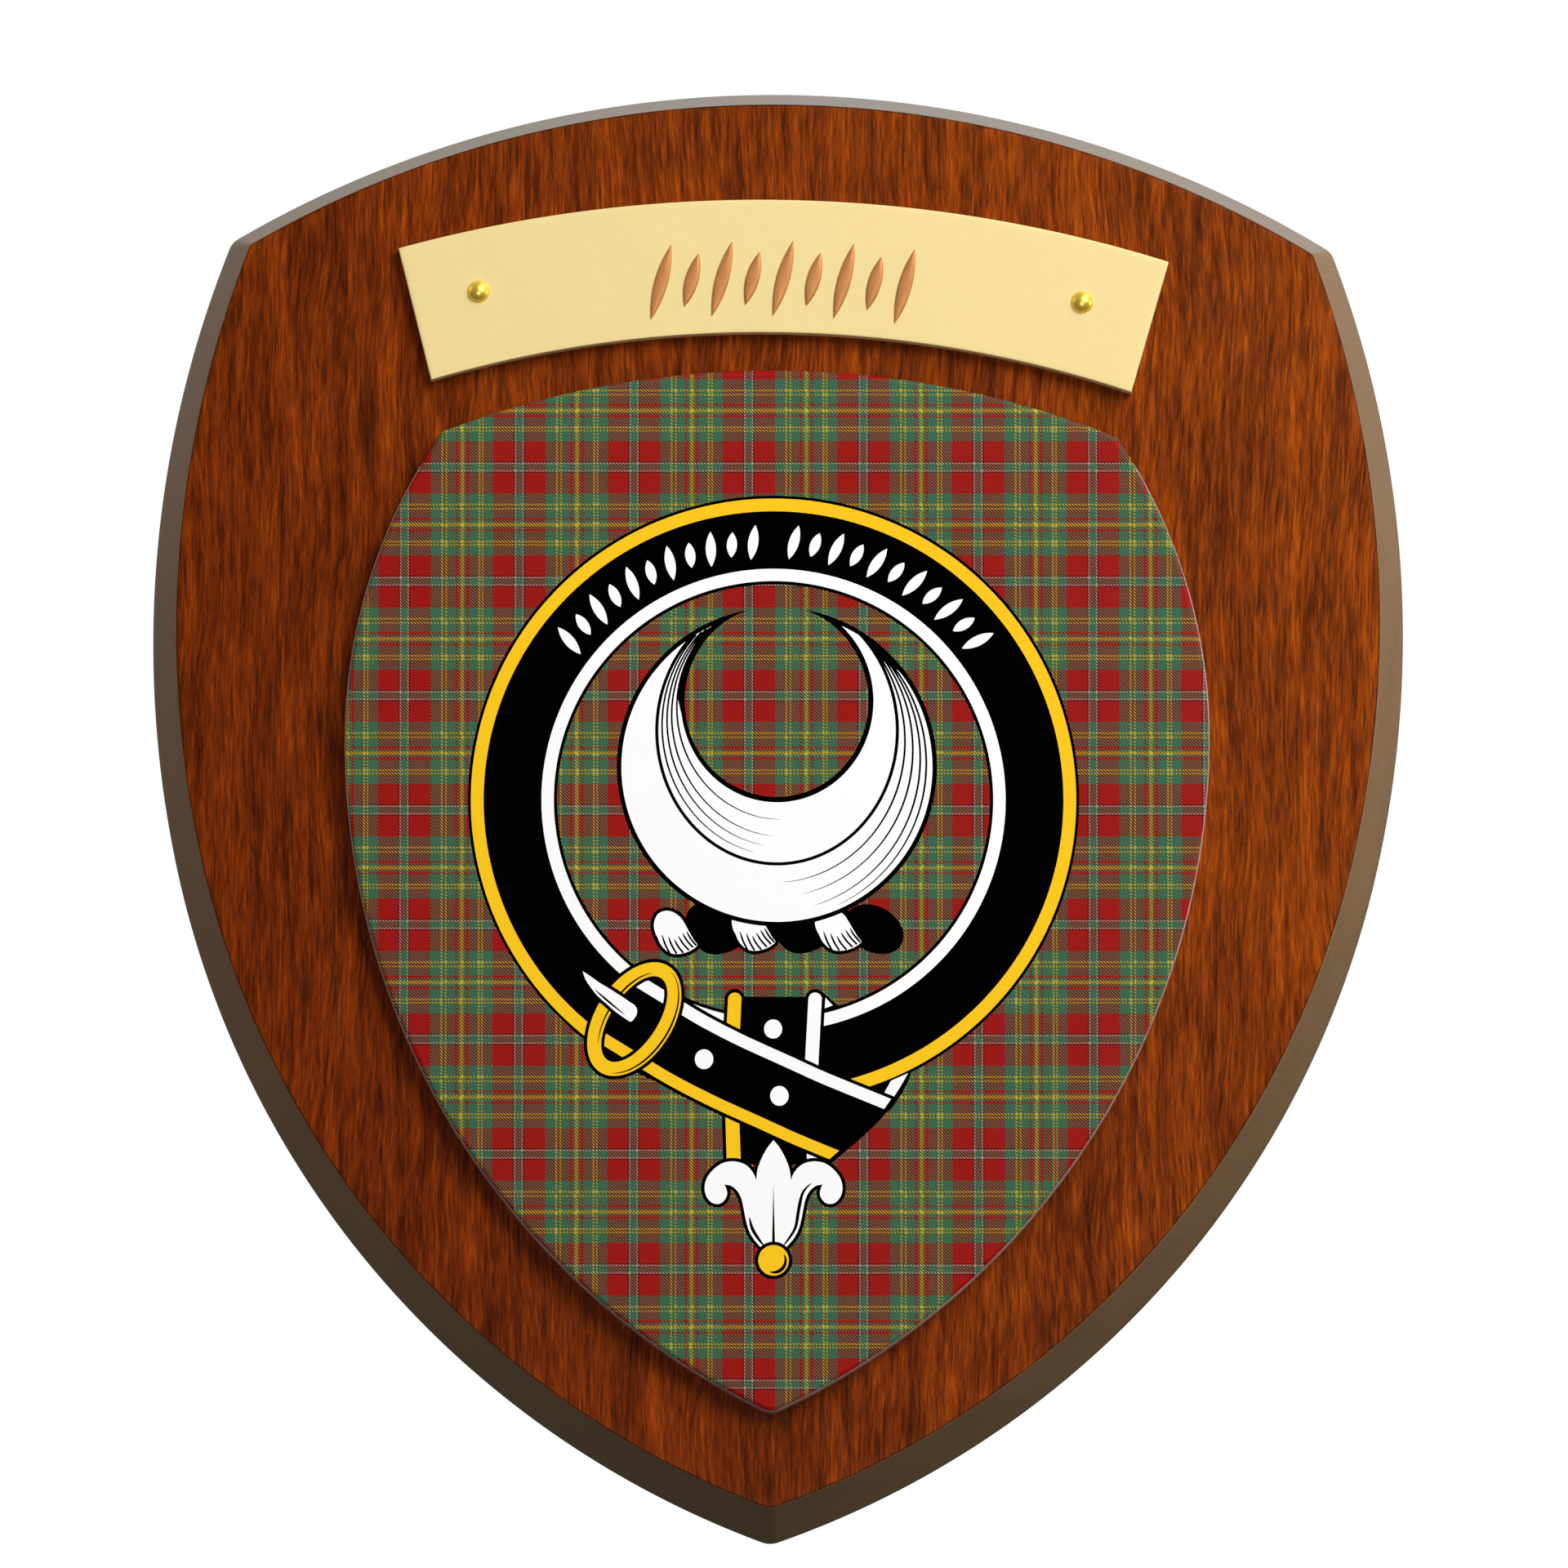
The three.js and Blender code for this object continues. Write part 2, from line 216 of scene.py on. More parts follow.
def winding(points: Array, loop: Array) -> Array:
    """How often a closed loop turns round each point: its upward passes on the right of the point
    less its downward ones.

    Args:
        points: the points, one row each.
        loop: the loop's corners.

    Returns:
        A whole number for each point.
    """
    after = np.roll(loop, -1, axis=0)
    x, y = points[:, :1], points[:, 1:]
    starts_below, ends_below = loop[:, 1] <= y, after[:, 1] <= y
    side = (after[:, 0] - loop[:, 0]) * (y - loop[:, 1]) - (x - loop[:, 0]) * (after[:, 1] - loop[:, 1])
    up = starts_below & ~ends_below & (side > 0)
    down = ~starts_below & ends_below & (side < 0)
    return up.sum(axis=1) - down.sum(axis=1)


@dataclass(frozen=True)
class ShieldArcs:
    """The arcs of a shield: one across the top, one down each side past its widest level, and one
    from there to the tip on each side, which leaves the side arc without a kink."""

    width: float
    top: float
    height: float
    widest: float
    top_radius: float
    side_radius: float
    side_turn: float
    tip_round: float
    steps: tuple[int, ...] = (10, 100, 16, 50, 14, 60)

    def lower_arc(self) -> tuple[Array, float]:
        """The right-hand arc that touches both the side arc and the tip's round.

        Returns:
            Its centre and its radius.
        """
        joint = np.array([math.cos(self.side_turn), -math.sin(self.side_turn)])
        side = np.array([self.width / 2 - self.side_radius, self.widest])
        to_tip = np.array([0, self.top - self.height + self.tip_round]) - side
        reach = to_tip @ joint
        more = to_tip @ to_tip - 2 * self.side_radius * reach + self.side_radius**2 - self.tip_round**2
        radius = more / (2 * (self.side_radius - reach - self.tip_round))
        return side + (self.side_radius - radius) * joint, radius

    def outline(self, inset: float, corner_round: float, tip_round: float) -> Array:
        """The closed outline, every arc drawn in by inset, with its corners and its tip rounded.

        Args:
            inset: how far inside the true outline it runs.
            corner_round: the radius at the two upper corners.
            tip_round: the radius at the tip.

        Returns:
            The points, counter-clockwise from the tip, always the same number of them.
        """
        top_centre = np.array([0, self.top - self.top_radius])
        side_centre = np.array([self.width / 2 - self.side_radius, self.widest])
        lower_centre, lower_radius = self.lower_arc()
        top_r, side_r, lower_r = self.top_radius - inset, self.side_radius - inset, lower_radius - inset
        line = side_centre - top_centre
        apart = np.linalg.norm(line)
        first, second = top_r - corner_round, side_r - corner_round
        along = (apart**2 + first**2 - second**2) / (2 * apart)
        line = line / apart
        corner = top_centre + line * along + np.array([line[1], -line[0]]) * math.sqrt(first**2 - along**2)
        tip = np.array([0, lower_centre[1] - math.sqrt((lower_r - tip_round) ** 2 - lower_centre[0] ** 2)])
        tip_angle, side_end = heading(tip - lower_centre), heading(corner - side_centre)
        top_start = heading(corner - top_centre)
        arcs = (
            (tip, tip_round, -RIGHT_ANGLE, tip_angle),
            (lower_centre, lower_r, tip_angle, -self.side_turn),
            (side_centre, side_r, -self.side_turn, 0),
            (side_centre, side_r, 0, side_end),
            (corner, corner_round, side_end, top_start),
            (top_centre, top_r, top_start, RIGHT_ANGLE),
        )
        parts = (arc(*part, steps) for part, steps in zip(arcs, self.steps))
        right = np.vstack([[[0, tip[1] - tip_round]], *parts])
        return np.vstack([right, (right[1:-1] * [-1, 1])[::-1]])


def in_depth(flat: Array, y: float) -> Array:
    """Lays (x, z) points in the plane at depth y, as (x, y, z)."""
    return np.stack([flat[..., 0], np.full(flat.shape[:-1], float(y)), flat[..., 1]], axis=-1)


def rounded(
    line: Callable[[float], Array], radius: float, face: float, steps: int, way: int = 1
) -> list[Array]:
    """The quarter-round between a side wall and a face: inset = r (1 - cos a), and r (1 - sin a)
    away from the face, for a from 0 to a right angle.

    Args:
        line: gives the outline for an inset.
        radius: the round's radius.
        face: the face's depth.
        steps: the number of rings.
        way: 1 where the wall lies behind the face and -1 where it lies in front.

    Returns:
        The rings, the wall's first.
    """
    angles = np.linspace(0, RIGHT_ANGLE, steps)
    return [in_depth(line(radius * (1 - math.cos(a))), face + way * radius * (1 - math.sin(a))) for a in angles]


# ---------------------------------------------------------------- meshes


@dataclass
class Skin:
    """The faces of one piece while it is put together: points, then four-sided and three-sided
    faces with the number of the finish that each one wears."""

    points: list[Array] = field(default_factory=list)
    quads: list[Array] = field(default_factory=list)
    triangles: list[Array] = field(default_factory=list)
    quad_slots: list[Array] = field(default_factory=list)
    triangle_slots: list[Array] = field(default_factory=list)
    count: int = 0

    def add_points(self, points: Array) -> int:
        """Adds points, (x, y, z) in the last axis, and tells the number of the first."""
        self.points.append(points.reshape(-1, 3))
        self.count += len(self.points[-1])
        return self.count - len(self.points[-1])

    def add_rings(
        self, rings: Array, slots: Sequence[int] | Array | int = 0, poles: Sequence[Point] = ()
    ) -> None:
        """A surface of two parameters, round the ring and from ring to ring, closed by a fan of
        triangles at each pole.

        Args:
            rings: points, as rings x points x 3.
            slots: the finish of the band after each ring, or of each of its faces, or one for all.
            poles: the point that closes the first ring, and the one that closes the last.
        """
        count, around = rings.shape[:2]
        at = self.add_points(rings) + np.arange(count * around).reshape(count, around)
        after = np.roll(at, -1, axis=1)
        self.quads.append(np.stack([at[:-1], after[:-1], after[1:], at[1:]], axis=-1).reshape(-1, 4))
        spread = slots if np.ndim(slots) == 0 else np.reshape(slots, (count - 1, -1))
        bands = np.broadcast_to(spread, (count - 1, around))
        self.quad_slots.append(bands.ravel())
        for pole, end, turn in zip(poles, (0, -1), (1, -1)):
            middle = self.add_points(np.array([pole], float))
            fan = [np.full(around, middle), *(after[end], at[end])[::turn]]
            self.triangles.append(np.stack(fan, axis=-1))
            self.triangle_slots.append(bands[end])

    def add_triangles(self, points: Array, triangles: Array, slots: Array | None = None) -> None:
        """Adds loose triangles.

        Args:
            points: their corners, one row each.
            triangles: three numbers of these points in each row.
            slots: the finish of each one, all of them the first finish where none is given.
        """
        self.triangles.append(triangles + self.add_points(points))
        self.triangle_slots.append(np.zeros(len(triangles), int) if slots is None else slots)

    def make(
        self, name: str, crease: float = 30.0, closed: bool = True, marks: dict[str, Array] | None = None
    ) -> Piece:
        """Puts the faces into a mesh, joins points that lie on each other and turns faces outwards.

        Args:
            name: the piece's name.
            crease: edges sharper than this many degrees stay sharp.
            closed: whether the skin closes, so that outwards can be told.
            marks: by name, a value from 0 to 1 for each point that a finish reads.

        Returns:
            The piece, at the origin.
        """
        mesh = bpy.data.meshes.new(name)
        faces = [f for group in (*self.quads, *self.triangles) for f in group.tolist()]
        mesh.from_pydata((np.vstack(self.points) * METRE).tolist(), [], faces)
        slots = np.concatenate([*self.quad_slots, *self.triangle_slots]).astype(np.int32)
        mesh.polygons.foreach_set("material_index", slots)
        for mark, values in (marks or {}).items():
            mesh.attributes.new(mark, "FLOAT", "POINT").data.foreach_set("value", values.astype(np.float32))
        work = bmesh.new()
        work.from_mesh(mesh)
        bmesh.ops.remove_doubles(work, verts=work.verts, dist=WELD)
        if closed:
            bmesh.ops.recalc_face_normals(work, faces=work.faces)
        work.to_mesh(mesh)
        work.free()
        mesh.polygons.foreach_set("use_smooth", np.ones(len(mesh.polygons), bool))
        mesh.set_sharp_from_angle(angle=math.radians(crease))
        mesh.update()
        piece = bpy.data.objects.new(name, mesh)
        bpy.context.scene.collection.objects.link(piece)
        return piece


def cut_plane(loops: Sequence[Array]) -> tuple[Array, Array]:
    """Cuts the inside of the first loop into triangles whose edges follow every loop.

    Args:
        loops: closed loops of (x, z) points, the first one round all the others.

    Returns:
        The corner points and the triangles.
    """
    points = np.vstack(loops)
    counts = np.array([len(loop) for loop in loops])
    starts = np.repeat(np.cumsum(counts) - counts, counts)
    number = np.arange(len(points))
    after = starts + (number - starts + 1) % np.repeat(counts, counts)
    edges = np.stack([number, after], axis=1)
    corners, _, faces, *_ = delaunay_2d_cdt(points.tolist(), edges.tolist(), [], 1, CUT_TOLERANCE)
    return np.array(corners, float), np.array(faces, int)


def dress(piece: Piece, finishes: Sequence[Material], node: str | None = None) -> None:
    """Gives a finished piece its materials, tells the frame what it is, and logs it.

    Args:
        piece: the piece.
        finishes: its materials, in the order of their numbers.
        node: the CAD node that it stands for, if it stands for one.
    """
    for finish in finishes:
        piece.data.materials.append(finish)
    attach(piece, "root")
    if node:
        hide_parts(node)
    size = ", ".join(f"{side / METRE:.2f}" for side in piece.dimensions)
    log.info("%s: %d faces, %s mm", piece.name, len(piece.data.polygons), size)


# ---------------------------------------------------------------- finishes


def linear(red: float, green: float, blue: float) -> tuple[float, float, float, float]:
    """A screen colour from 0 to 255 as the linear light that shaders work in.

    Args:
        red: the red part.
        green: the green part.
        blue: the blue part.

    Returns:
        Red, green, blue and 1.
    """
    c = np.array([red, green, blue]) / 255
    c = np.where(c <= 0.04045, c / 12.92, ((c + 0.055) / 1.055) ** 2.4)
    return (*(float(x) for x in c), 1.0)


class Sheet:
    """A node tree with short ways to lay nodes on it."""

    def __init__(self, tree: bpy.types.NodeTree) -> None:
        """Keeps the tree."""
        self.tree = tree

    def feed(self, node: Node, inputs: dict) -> None:
        """Fills a node's inputs, by name or number: sockets are linked and values set."""
        for name, value in inputs.items():
            if isinstance(value, Socket):
                self.tree.links.new(value, node.inputs[name])
            else:
                node.inputs[name].default_value = value

    def put(self, kind: str, inputs: dict | None = None, **settings: object) -> Node:
        """Adds a node.

        Args:
            kind: the node's type after the words ShaderNode.
            inputs: an output socket or a value for each input name or number.
            settings: the node's own properties.

        Returns:
            The node.
        """
        node = self.tree.nodes.new(f"ShaderNode{kind}")
        for name, value in settings.items():
            setattr(node, name, value)
        self.feed(node, inputs or {})
        return node

    def maths(self, operation: str, *values: Value) -> Socket:
        """A Math node's result."""
        return self.put("Math", dict(enumerate(values)), operation=operation).outputs[0]

    def vector(self, operation: str, first: Socket, second: Socket | Point, result: str = "Vector") -> Socket:
        """A Vector Math node's result."""
        return self.put("VectorMath", {0: first, 1: second}, operation=operation).outputs[result]

    def between(self, value: Socket, low: Value, high: Value, first: float = 0.0, last: float = 1.0) -> Socket:
        """Maps the range from low to high onto that from first to last, and stays inside it."""
        inputs = {"Value": value, "From Min": low, "From Max": high, "To Min": first, "To Max": last}
        return self.put("MapRange", inputs).outputs["Result"]

    def noise(self, vector: Socket, scale: Value | Point, detail: float = 2.0, rough: float = 0.5) -> Socket:
        """A Noise Texture's value.

        Args:
            vector: where it is read.
            scale: how fine it is, or how fine along each axis.
            detail: how many finer layers it has.
            rough: how strong those are.

        Returns:
            The value, about 0.5 in the middle.
        """
        if isinstance(scale, tuple):
            vector, scale = self.vector("MULTIPLY", vector, scale), 1.0
        inputs = {"Vector": vector, "Scale": scale, "Detail": detail, "Roughness": rough}
        return self.put("TexNoise", inputs).outputs[0]

    def blend(self, factor: Value, first: Tint, second: Tint, way: str = "MIX") -> Socket:
        """Mixes two colours, by the factor's share of the second."""
        node = self.put("Mix", {0: factor, 6: first, 7: second}, data_type="RGBA", blend_type=way)
        return node.outputs[2]

    def tinted(self, colour: Socket, *parts: Socket) -> Socket:
        """A colour times a value for its red, green and blue parts, or one value for all three."""
        tint = self.put("CombineColor", dict(enumerate(parts if len(parts) == 3 else parts * 3)))
        return self.blend(1.0, colour, tint.outputs[0], "MULTIPLY")

    def ramp(self, value: Socket, stops: Sequence[tuple[float, Point]], stepped: bool = False) -> Socket:
        """A colour for each value.

        Args:
            value: from 0 to 1.
            stops: places and their colours, in order.
            stepped: whether the colour jumps at each stop.

        Returns:
            The colour.
        """
        node = self.put("ValToRGB", {0: value})
        ramp = node.color_ramp
        ramp.interpolation = "CONSTANT" if stepped else "LINEAR"
        for place, colour in stops[1:-1]:
            ramp.elements.new(place).color = colour
        for index in (0, len(stops) - 1):
            ramp.elements[index].position, ramp.elements[index].color = stops[index]
        return node.outputs[0]


def new_group(name: str, inputs: dict[str, float | None], outputs: Sequence[str]) -> tuple[Sheet, dict, Node]:
    """Starts a node group with named sockets.

    Args:
        name: the group's name.
        inputs: each input's name with its usual value, or None for a vector.
        outputs: the name of each output, a value.

    Returns:
        Its sheet, its input sockets by name and its output node.
    """
    tree = bpy.data.node_groups.new(name, "ShaderNodeTree")
    for label, value in inputs.items():
        kind = "NodeSocketVector" if value is None else "NodeSocketFloat"
        socket = tree.interface.new_socket(label, in_out="INPUT", socket_type=kind)
        if value is not None:
            socket.default_value = value
    for label in outputs:
        tree.interface.new_socket(label, in_out="OUTPUT", socket_type="NodeSocketFloat")
    start = tree.nodes.new("NodeGroupInput")
    return Sheet(tree), {s.name: s for s in start.outputs}, tree.nodes.new("NodeGroupOutput")


class Effects:
    """The node groups that several finishes share, each built once."""

    def __init__(self) -> None:
        """Builds every group."""
        self.grain, self.mottle = self.build_grain(), self.build_mottle()
        self.wear, self.twill = self.build_wear(), self.build_twill()

    @staticmethod
    def build_grain() -> bpy.types.NodeTree:
        """Straight grain along Z: noise that is drawn out along the grain at four widths, bent a
        little by a slow noise, with short thin pores.

        Returns:
            A group with the tone of the wood, its pores and its height.
        """
        sheet, given, out = new_group("wood_grain", {"Vector": None, "Pores": 1.0}, ("Tone", "Pore", "Height"))
        slow = sheet.noise(given["Vector"], (40, 40, 22))
        bend = sheet.maths("MULTIPLY", sheet.maths("SUBTRACT", slow, 0.5), 0.006)
        at = sheet.vector("ADD", given["Vector"], sheet.put("CombineXYZ", {0: bend}).outputs[0])
        layers = (
            ((3400, 1000, 260), 3.0, 0.65, 0.40),
            ((1400, 500, 95), 3.0, 0.6, 0.28),
            ((420, 200, 50), 3.0, 0.6, 0.20),
            ((100, 60, 40), 2.0, 0.5, 0.12),
        )
        noises = [sheet.noise(at, *layer[:3]) for layer in layers]
        hair, tone = noises[0], 0.0
        for noise, (*_, weight) in zip(noises, layers):
            tone = sheet.maths("MULTIPLY_ADD", noise, weight, tone)
        pore = sheet.between(sheet.noise(at, (2300, 900, 190), 1.0), 0.60, 0.70)
        pore = sheet.maths("MULTIPLY", pore, given["Pores"])
        height = sheet.maths("MULTIPLY_ADD", hair, 0.5, sheet.maths("MULTIPLY", pore, -0.6))
        sheet.feed(out, {"Tone": sheet.between(tone, 0.38, 0.66), "Pore": pore, "Height": height})
        return sheet.tree

    @staticmethod
    def build_mottle() -> bpy.types.NodeTree:
        """Fine uneven speckle: a fine noise and a coarser one, added up and spread about zero.

        Returns:
            A group with one value, from about -1 to 1 times its strength.
        """
        given_values = {"Vector": None, "Fine scale": 2500.0, "Coarse scale": 300.0, "Strength": 1.0}
        sheet, given, out = new_group("mottle", given_values, ("Value",))
        fine, coarse = (sheet.noise(given["Vector"], given[f"{size} scale"]) for size in ("Fine", "Coarse"))
        both = sheet.maths("MULTIPLY_ADD", coarse, 0.5, sheet.maths("MULTIPLY", fine, 0.5))
        spread = sheet.maths("MULTIPLY", sheet.maths("SUBTRACT", both, 0.5), 4.0)
        sheet.feed(out, {"Value": sheet.maths("MULTIPLY", spread, given["Strength"])})
        return sheet.tree

    @staticmethod
    def build_wear() -> bpy.types.NodeTree:
        """Rubbed edges: where the piece's own rim mark, broken up by noise, passes a limit.

        Returns:
            A group with one mask.
        """
        given_values = {"Vector": None, "Rim": 0.0, "Amount": 0.5, "Scale": 400.0}
        sheet, given, out = new_group("edge_wear", given_values, ("Mask",))
        broken = sheet.maths("SUBTRACT", sheet.noise(given["Vector"], given["Scale"], 3.0), 0.5)
        marked = sheet.maths("ADD", given["Rim"], sheet.maths("MULTIPLY", broken, 1.2))
        low = sheet.maths("SUBTRACT", 1.0, given["Amount"])
        sheet.feed(out, {"Mask": sheet.between(marked, low, sheet.maths("ADD", low, 0.25))})
        return sheet.tree

    @staticmethod
    def build_twill() -> bpy.types.NodeTree:
        """A two-over-two twill: a thread that runs up shows where across less down, counted in
        threads, lies in the first half of every four.

        Returns:
            A group with a mask, 1 where the upright threads lie on top.
        """
        sheet, given, out = new_group("twill", {"Across": 0.0, "Down": 0.0, "Thread": 0.1}, ("Mask",))
        slant = sheet.maths("SUBTRACT", given["Across"], given["Down"])
        step = sheet.maths("DIVIDE", slant, sheet.maths("MULTIPLY", given["Thread"], 4.0))
        sheet.feed(out, {"Mask": sheet.between(sheet.maths("PINGPONG", step, 0.5), 0.20, 0.30)})
        return sheet.tree

    @staticmethod
    def use(sheet: Sheet, group: bpy.types.NodeTree, inputs: dict) -> dict[str, Socket]:
        """Places a group on a material's sheet.

        Args:
            sheet: where it goes.
            group: which group.
            inputs: its inputs by name.

        Returns:
            Its outputs by name.
        """
        node = sheet.put("Group", node_tree=group)
        sheet.feed(node, inputs)
        return {socket.name: socket for socket in node.outputs}

    def speckle(self, sheet: Sheet, place: Socket, fine: float, coarse: float, strength: float) -> Socket:
        """The mottle's value on a material's sheet."""
        inputs = {"Vector": place, "Fine scale": fine, "Coarse scale": coarse, "Strength": strength}
        return self.use(sheet, self.mottle, inputs)["Value"]


@dataclass(frozen=True)
class Finish:
    """What every finish has: a name, and the shader's even values."""

    name: str
    roughness: float = 0.5
    metallic: float = 0.0
    specular: float = 0.5

    def start(self) -> tuple[Material, Sheet, Node, Socket]:
        """Makes the material with its Principled BSDF.

        Returns:
            The material, its sheet, its shader node and the object coordinates.
        """
        material = bpy.data.materials.new(self.name)
        material.use_nodes = True
        material.node_tree.nodes.clear()
        sheet = Sheet(material.node_tree)
        even = {"Roughness": self.roughness, "Metallic": self.metallic, "Specular IOR Level": self.specular}
        shader = sheet.put("BsdfPrincipled", even)
        sheet.put("OutputMaterial", {0: shader.outputs[0]})
        return material, sheet, shader, sheet.put("TexCoord").outputs["Object"]

    @staticmethod
    def relief(sheet: Sheet, height: Socket, depth: float) -> Socket:
        """A normal from a height of 0 to 1, where 1 stands for the depth in metres."""
        return sheet.put("Bump", {"Height": height, "Distance": depth, "Strength": 1.0}).outputs[0]


@dataclass(frozen=True)
class StainedVeneer(Finish):
    """Reddish brown stained veneer under satin lacquer, its grain upright, darker where the stain
    has gathered at the rim. Painted light: the veneer is made lighter and yellower towards the upper
    right, a set amount per metre along each axis, in place of the key light's fall-off from there."""

    tones: tuple = (
        (0.0, linear(62, 22, 4)), (0.3, linear(100, 39, 6)), (0.55, linear(133, 55, 8)),
        (1.0, linear(182, 84, 11)),
    )
    pore: tuple = linear(52, 17, 5)
    rim: tuple = linear(58, 27, 10)
    key_falloff_paint: tuple = (2.3, 0.0, 1.0)
    key_warmth_paint: tuple = (1.5, 0.0, 0.7)
    level: float = 0.94
    depth: float = 0.00002

    def build(self, effects: Effects) -> Material:
        """Makes the material.

        Args:
            effects: the shared groups.

        Returns:
            The material.
        """
        material, sheet, shader, place = self.start()
        grain = effects.use(sheet, effects.grain, {"Vector": place, "Pores": 0.8})
        colour = sheet.ramp(grain["Tone"], self.tones)
        colour = sheet.blend(sheet.maths("MULTIPLY", grain["Pore"], 0.55), colour, self.pore)
        # painted light: lighter and yellower towards the upper right, standing in for the key light's fall-off
        painted_lit = sheet.maths("ADD", sheet.vector("DOT_PRODUCT", place, self.key_falloff_paint, "Value"), self.level)
        painted_warm_lit = sheet.maths("ADD", sheet.vector("DOT_PRODUCT", place, self.key_warmth_paint, "Value"), painted_lit)
        colour = sheet.tinted(colour, painted_lit, painted_warm_lit, painted_warm_lit)
        rim = sheet.put("Attribute", attribute_name="rim").outputs["Fac"]
        worn = effects.use(sheet, effects.wear, {"Vector": place, "Rim": rim, "Amount": 0.45, "Scale": 260.0})
        colour = sheet.blend(sheet.maths("MULTIPLY", worn["Mask"], 0.8), colour, self.rim)
        speckle = effects.speckle(sheet, place, 900.0, 60.0, 0.06)
        sheet.feed(shader, {
            "Base Color": colour,
            "Roughness": sheet.maths("ADD", speckle, self.roughness),
            "Normal": self.relief(sheet, grain["Height"], self.depth),
        })
        return material


@dataclass(frozen=True)
class MottledFinish(Finish):
    """A finish whose colour, roughness and height all waver with a fine speckle."""

    colour: tuple = linear(231, 211, 147)
    second: tuple = linear(227, 206, 141)
    fine: float = 900.0
    coarse: float = 120.0
    waver: float = 0.03
    depth: float = 0.000002
    # the grey of a painted sheen on upward-facing paint, and how strongly it is laid on
    painted_sheen: tuple | None = None
    sheen_amount: float = 0.8

    def build(self, effects: Effects) -> Material:
        """Makes the material.

        Args:
            effects: the shared groups.

        Returns:
            The material.
        """
        material, sheet, shader, place = self.start()
        speckle = effects.speckle(sheet, place, self.fine, self.coarse, 0.5)
        uneven = sheet.between(speckle, -0.5, 0.5)
        colour = sheet.blend(uneven, self.second, self.colour)
        # painted reflection: greyer where the surface faces up, standing in for the sheen of the bright room
        # above
        if self.painted_sheen:
            sheen_amount = sheet.put("Attribute", attribute_name="sheen_amount").outputs["Fac"]
            colour = sheet.blend(sheet.maths("MULTIPLY", sheen_amount, self.sheen_amount), colour, self.painted_sheen)
        low, high = self.roughness - self.waver, self.roughness + self.waver
        sheet.feed(shader, {
            "Base Color": colour,
            "Roughness": sheet.between(speckle, -0.6, 0.6, low, high),
            "Normal": self.relief(sheet, uneven, self.depth),
        })
        return material


@dataclass(frozen=True)
class SatinBrass(MottledFinish):
    """Rolled sheet brass with a fine mottled satin face."""


@dataclass(frozen=True)
class EdgePaint(MottledFinish):
    """Dull brown paint, rolled on, a little uneven, with a painted grey sheen where the edge looks up, which
    stands in for the reflection of the bright room above.
    """

    colour: tuple = linear(133, 102, 66)
    second: tuple = linear(114, 85, 54)
    fine: float = 1400.0
    coarse: float = 90.0
    waver: float = 0.06
    depth: float = 0.00002
    # painted sheen: a grey standing in for the top bevel's reflection of the bright room
    painted_sheen: tuple | None = linear(134, 132, 125)


class Yarn(Enum):
    """The colours of the tartan's threads."""

    RED = linear(148, 15, 9)
    GREEN = linear(55, 98, 72)
    YELLOW = linear(184, 166, 40)
    WHITE = linear(192, 148, 140)
    BLACK = linear(22, 14, 12)


@dataclass(frozen=True)
class TartanPrint(Finish):
    """A tartan printed on a smooth board: the same stripes across and down, their widths counted in
    threads. Where two yarns cross, the print shows their middle colour, darker and lighter by turns
    along a twill."""

    stripes: tuple[tuple[Yarn, float], ...] = (
        (Yarn.RED, 24.2), (Yarn.BLACK, 2.1), (Yarn.WHITE, 1.5), (Yarn.GREEN, 7.5), (Yarn.WHITE, 1.5),
        (Yarn.BLACK, 2.1), (Yarn.RED, 24.9), (Yarn.GREEN, 12.7), (Yarn.YELLOW, 2.1), (Yarn.GREEN, 3.3),
        (Yarn.YELLOW, 2.1), (Yarn.GREEN, 10.4), (Yarn.RED, 2.5), (Yarn.GREEN, 3.1), (Yarn.YELLOW, 4.4),
        (Yarn.GREEN, 3.6), (Yarn.RED, 2.5), (Yarn.GREEN, 11.7), (Yarn.YELLOW, 2.1), (Yarn.GREEN, 2.1),
        (Yarn.YELLOW, 2.1), (Yarn.GREEN, 12.1),
    )
    thread: float = 0.0989
    crossed: tuple[float, float] = (0.15, 1.42)
    first: tuple[float, float] = (-33.98, -43.63)

    def build(self, effects: Effects, lay: "PrintLay") -> Material:
        """Makes the material.

        Args:
            effects: the shared groups.
            lay: how the print lies on the panel.

        Returns:
            The material.
        """
        material, sheet, shader, place = self.start()
        across, down = lay.coordinates(sheet, place)
        widths = np.array([width for _, width in self.stripes])
        repeat = float(widths.sum()) * self.thread
        places = (np.cumsum(widths) - widths) / widths.sum()
        stops = [(float(p), yarn.value) for p, (yarn, _) in zip(places, self.stripes)]
        counts = (sheet.maths("DIVIDE", sheet.maths("SUBTRACT", way, first), repeat)
                  for way, first in zip((across, down), self.first))
        warp, weft = (sheet.ramp(sheet.maths("FRACT", count), stops, stepped=True) for count in counts)
        twill = effects.use(sheet, effects.twill, {"Across": across, "Down": down, "Thread": self.thread})
        crossed = sheet.between(twill["Mask"], 0.0, 1.0, *self.crossed)
        apart = sheet.between(sheet.vector("DISTANCE", warp, weft, "Value"), 0.0, 0.2)
        shade = sheet.maths("MULTIPLY_ADD", apart, sheet.maths("SUBTRACT", crossed, 1.0), 1.0)
        speckle = effects.speckle(sheet, place, 1500.0, 200.0, 0.05)
        sheet.feed(shader, {
            "Base Color": sheet.tinted(sheet.blend(0.5, weft, warp), shade),
            "Roughness": sheet.maths("ADD", speckle, self.roughness),
        })
        return material


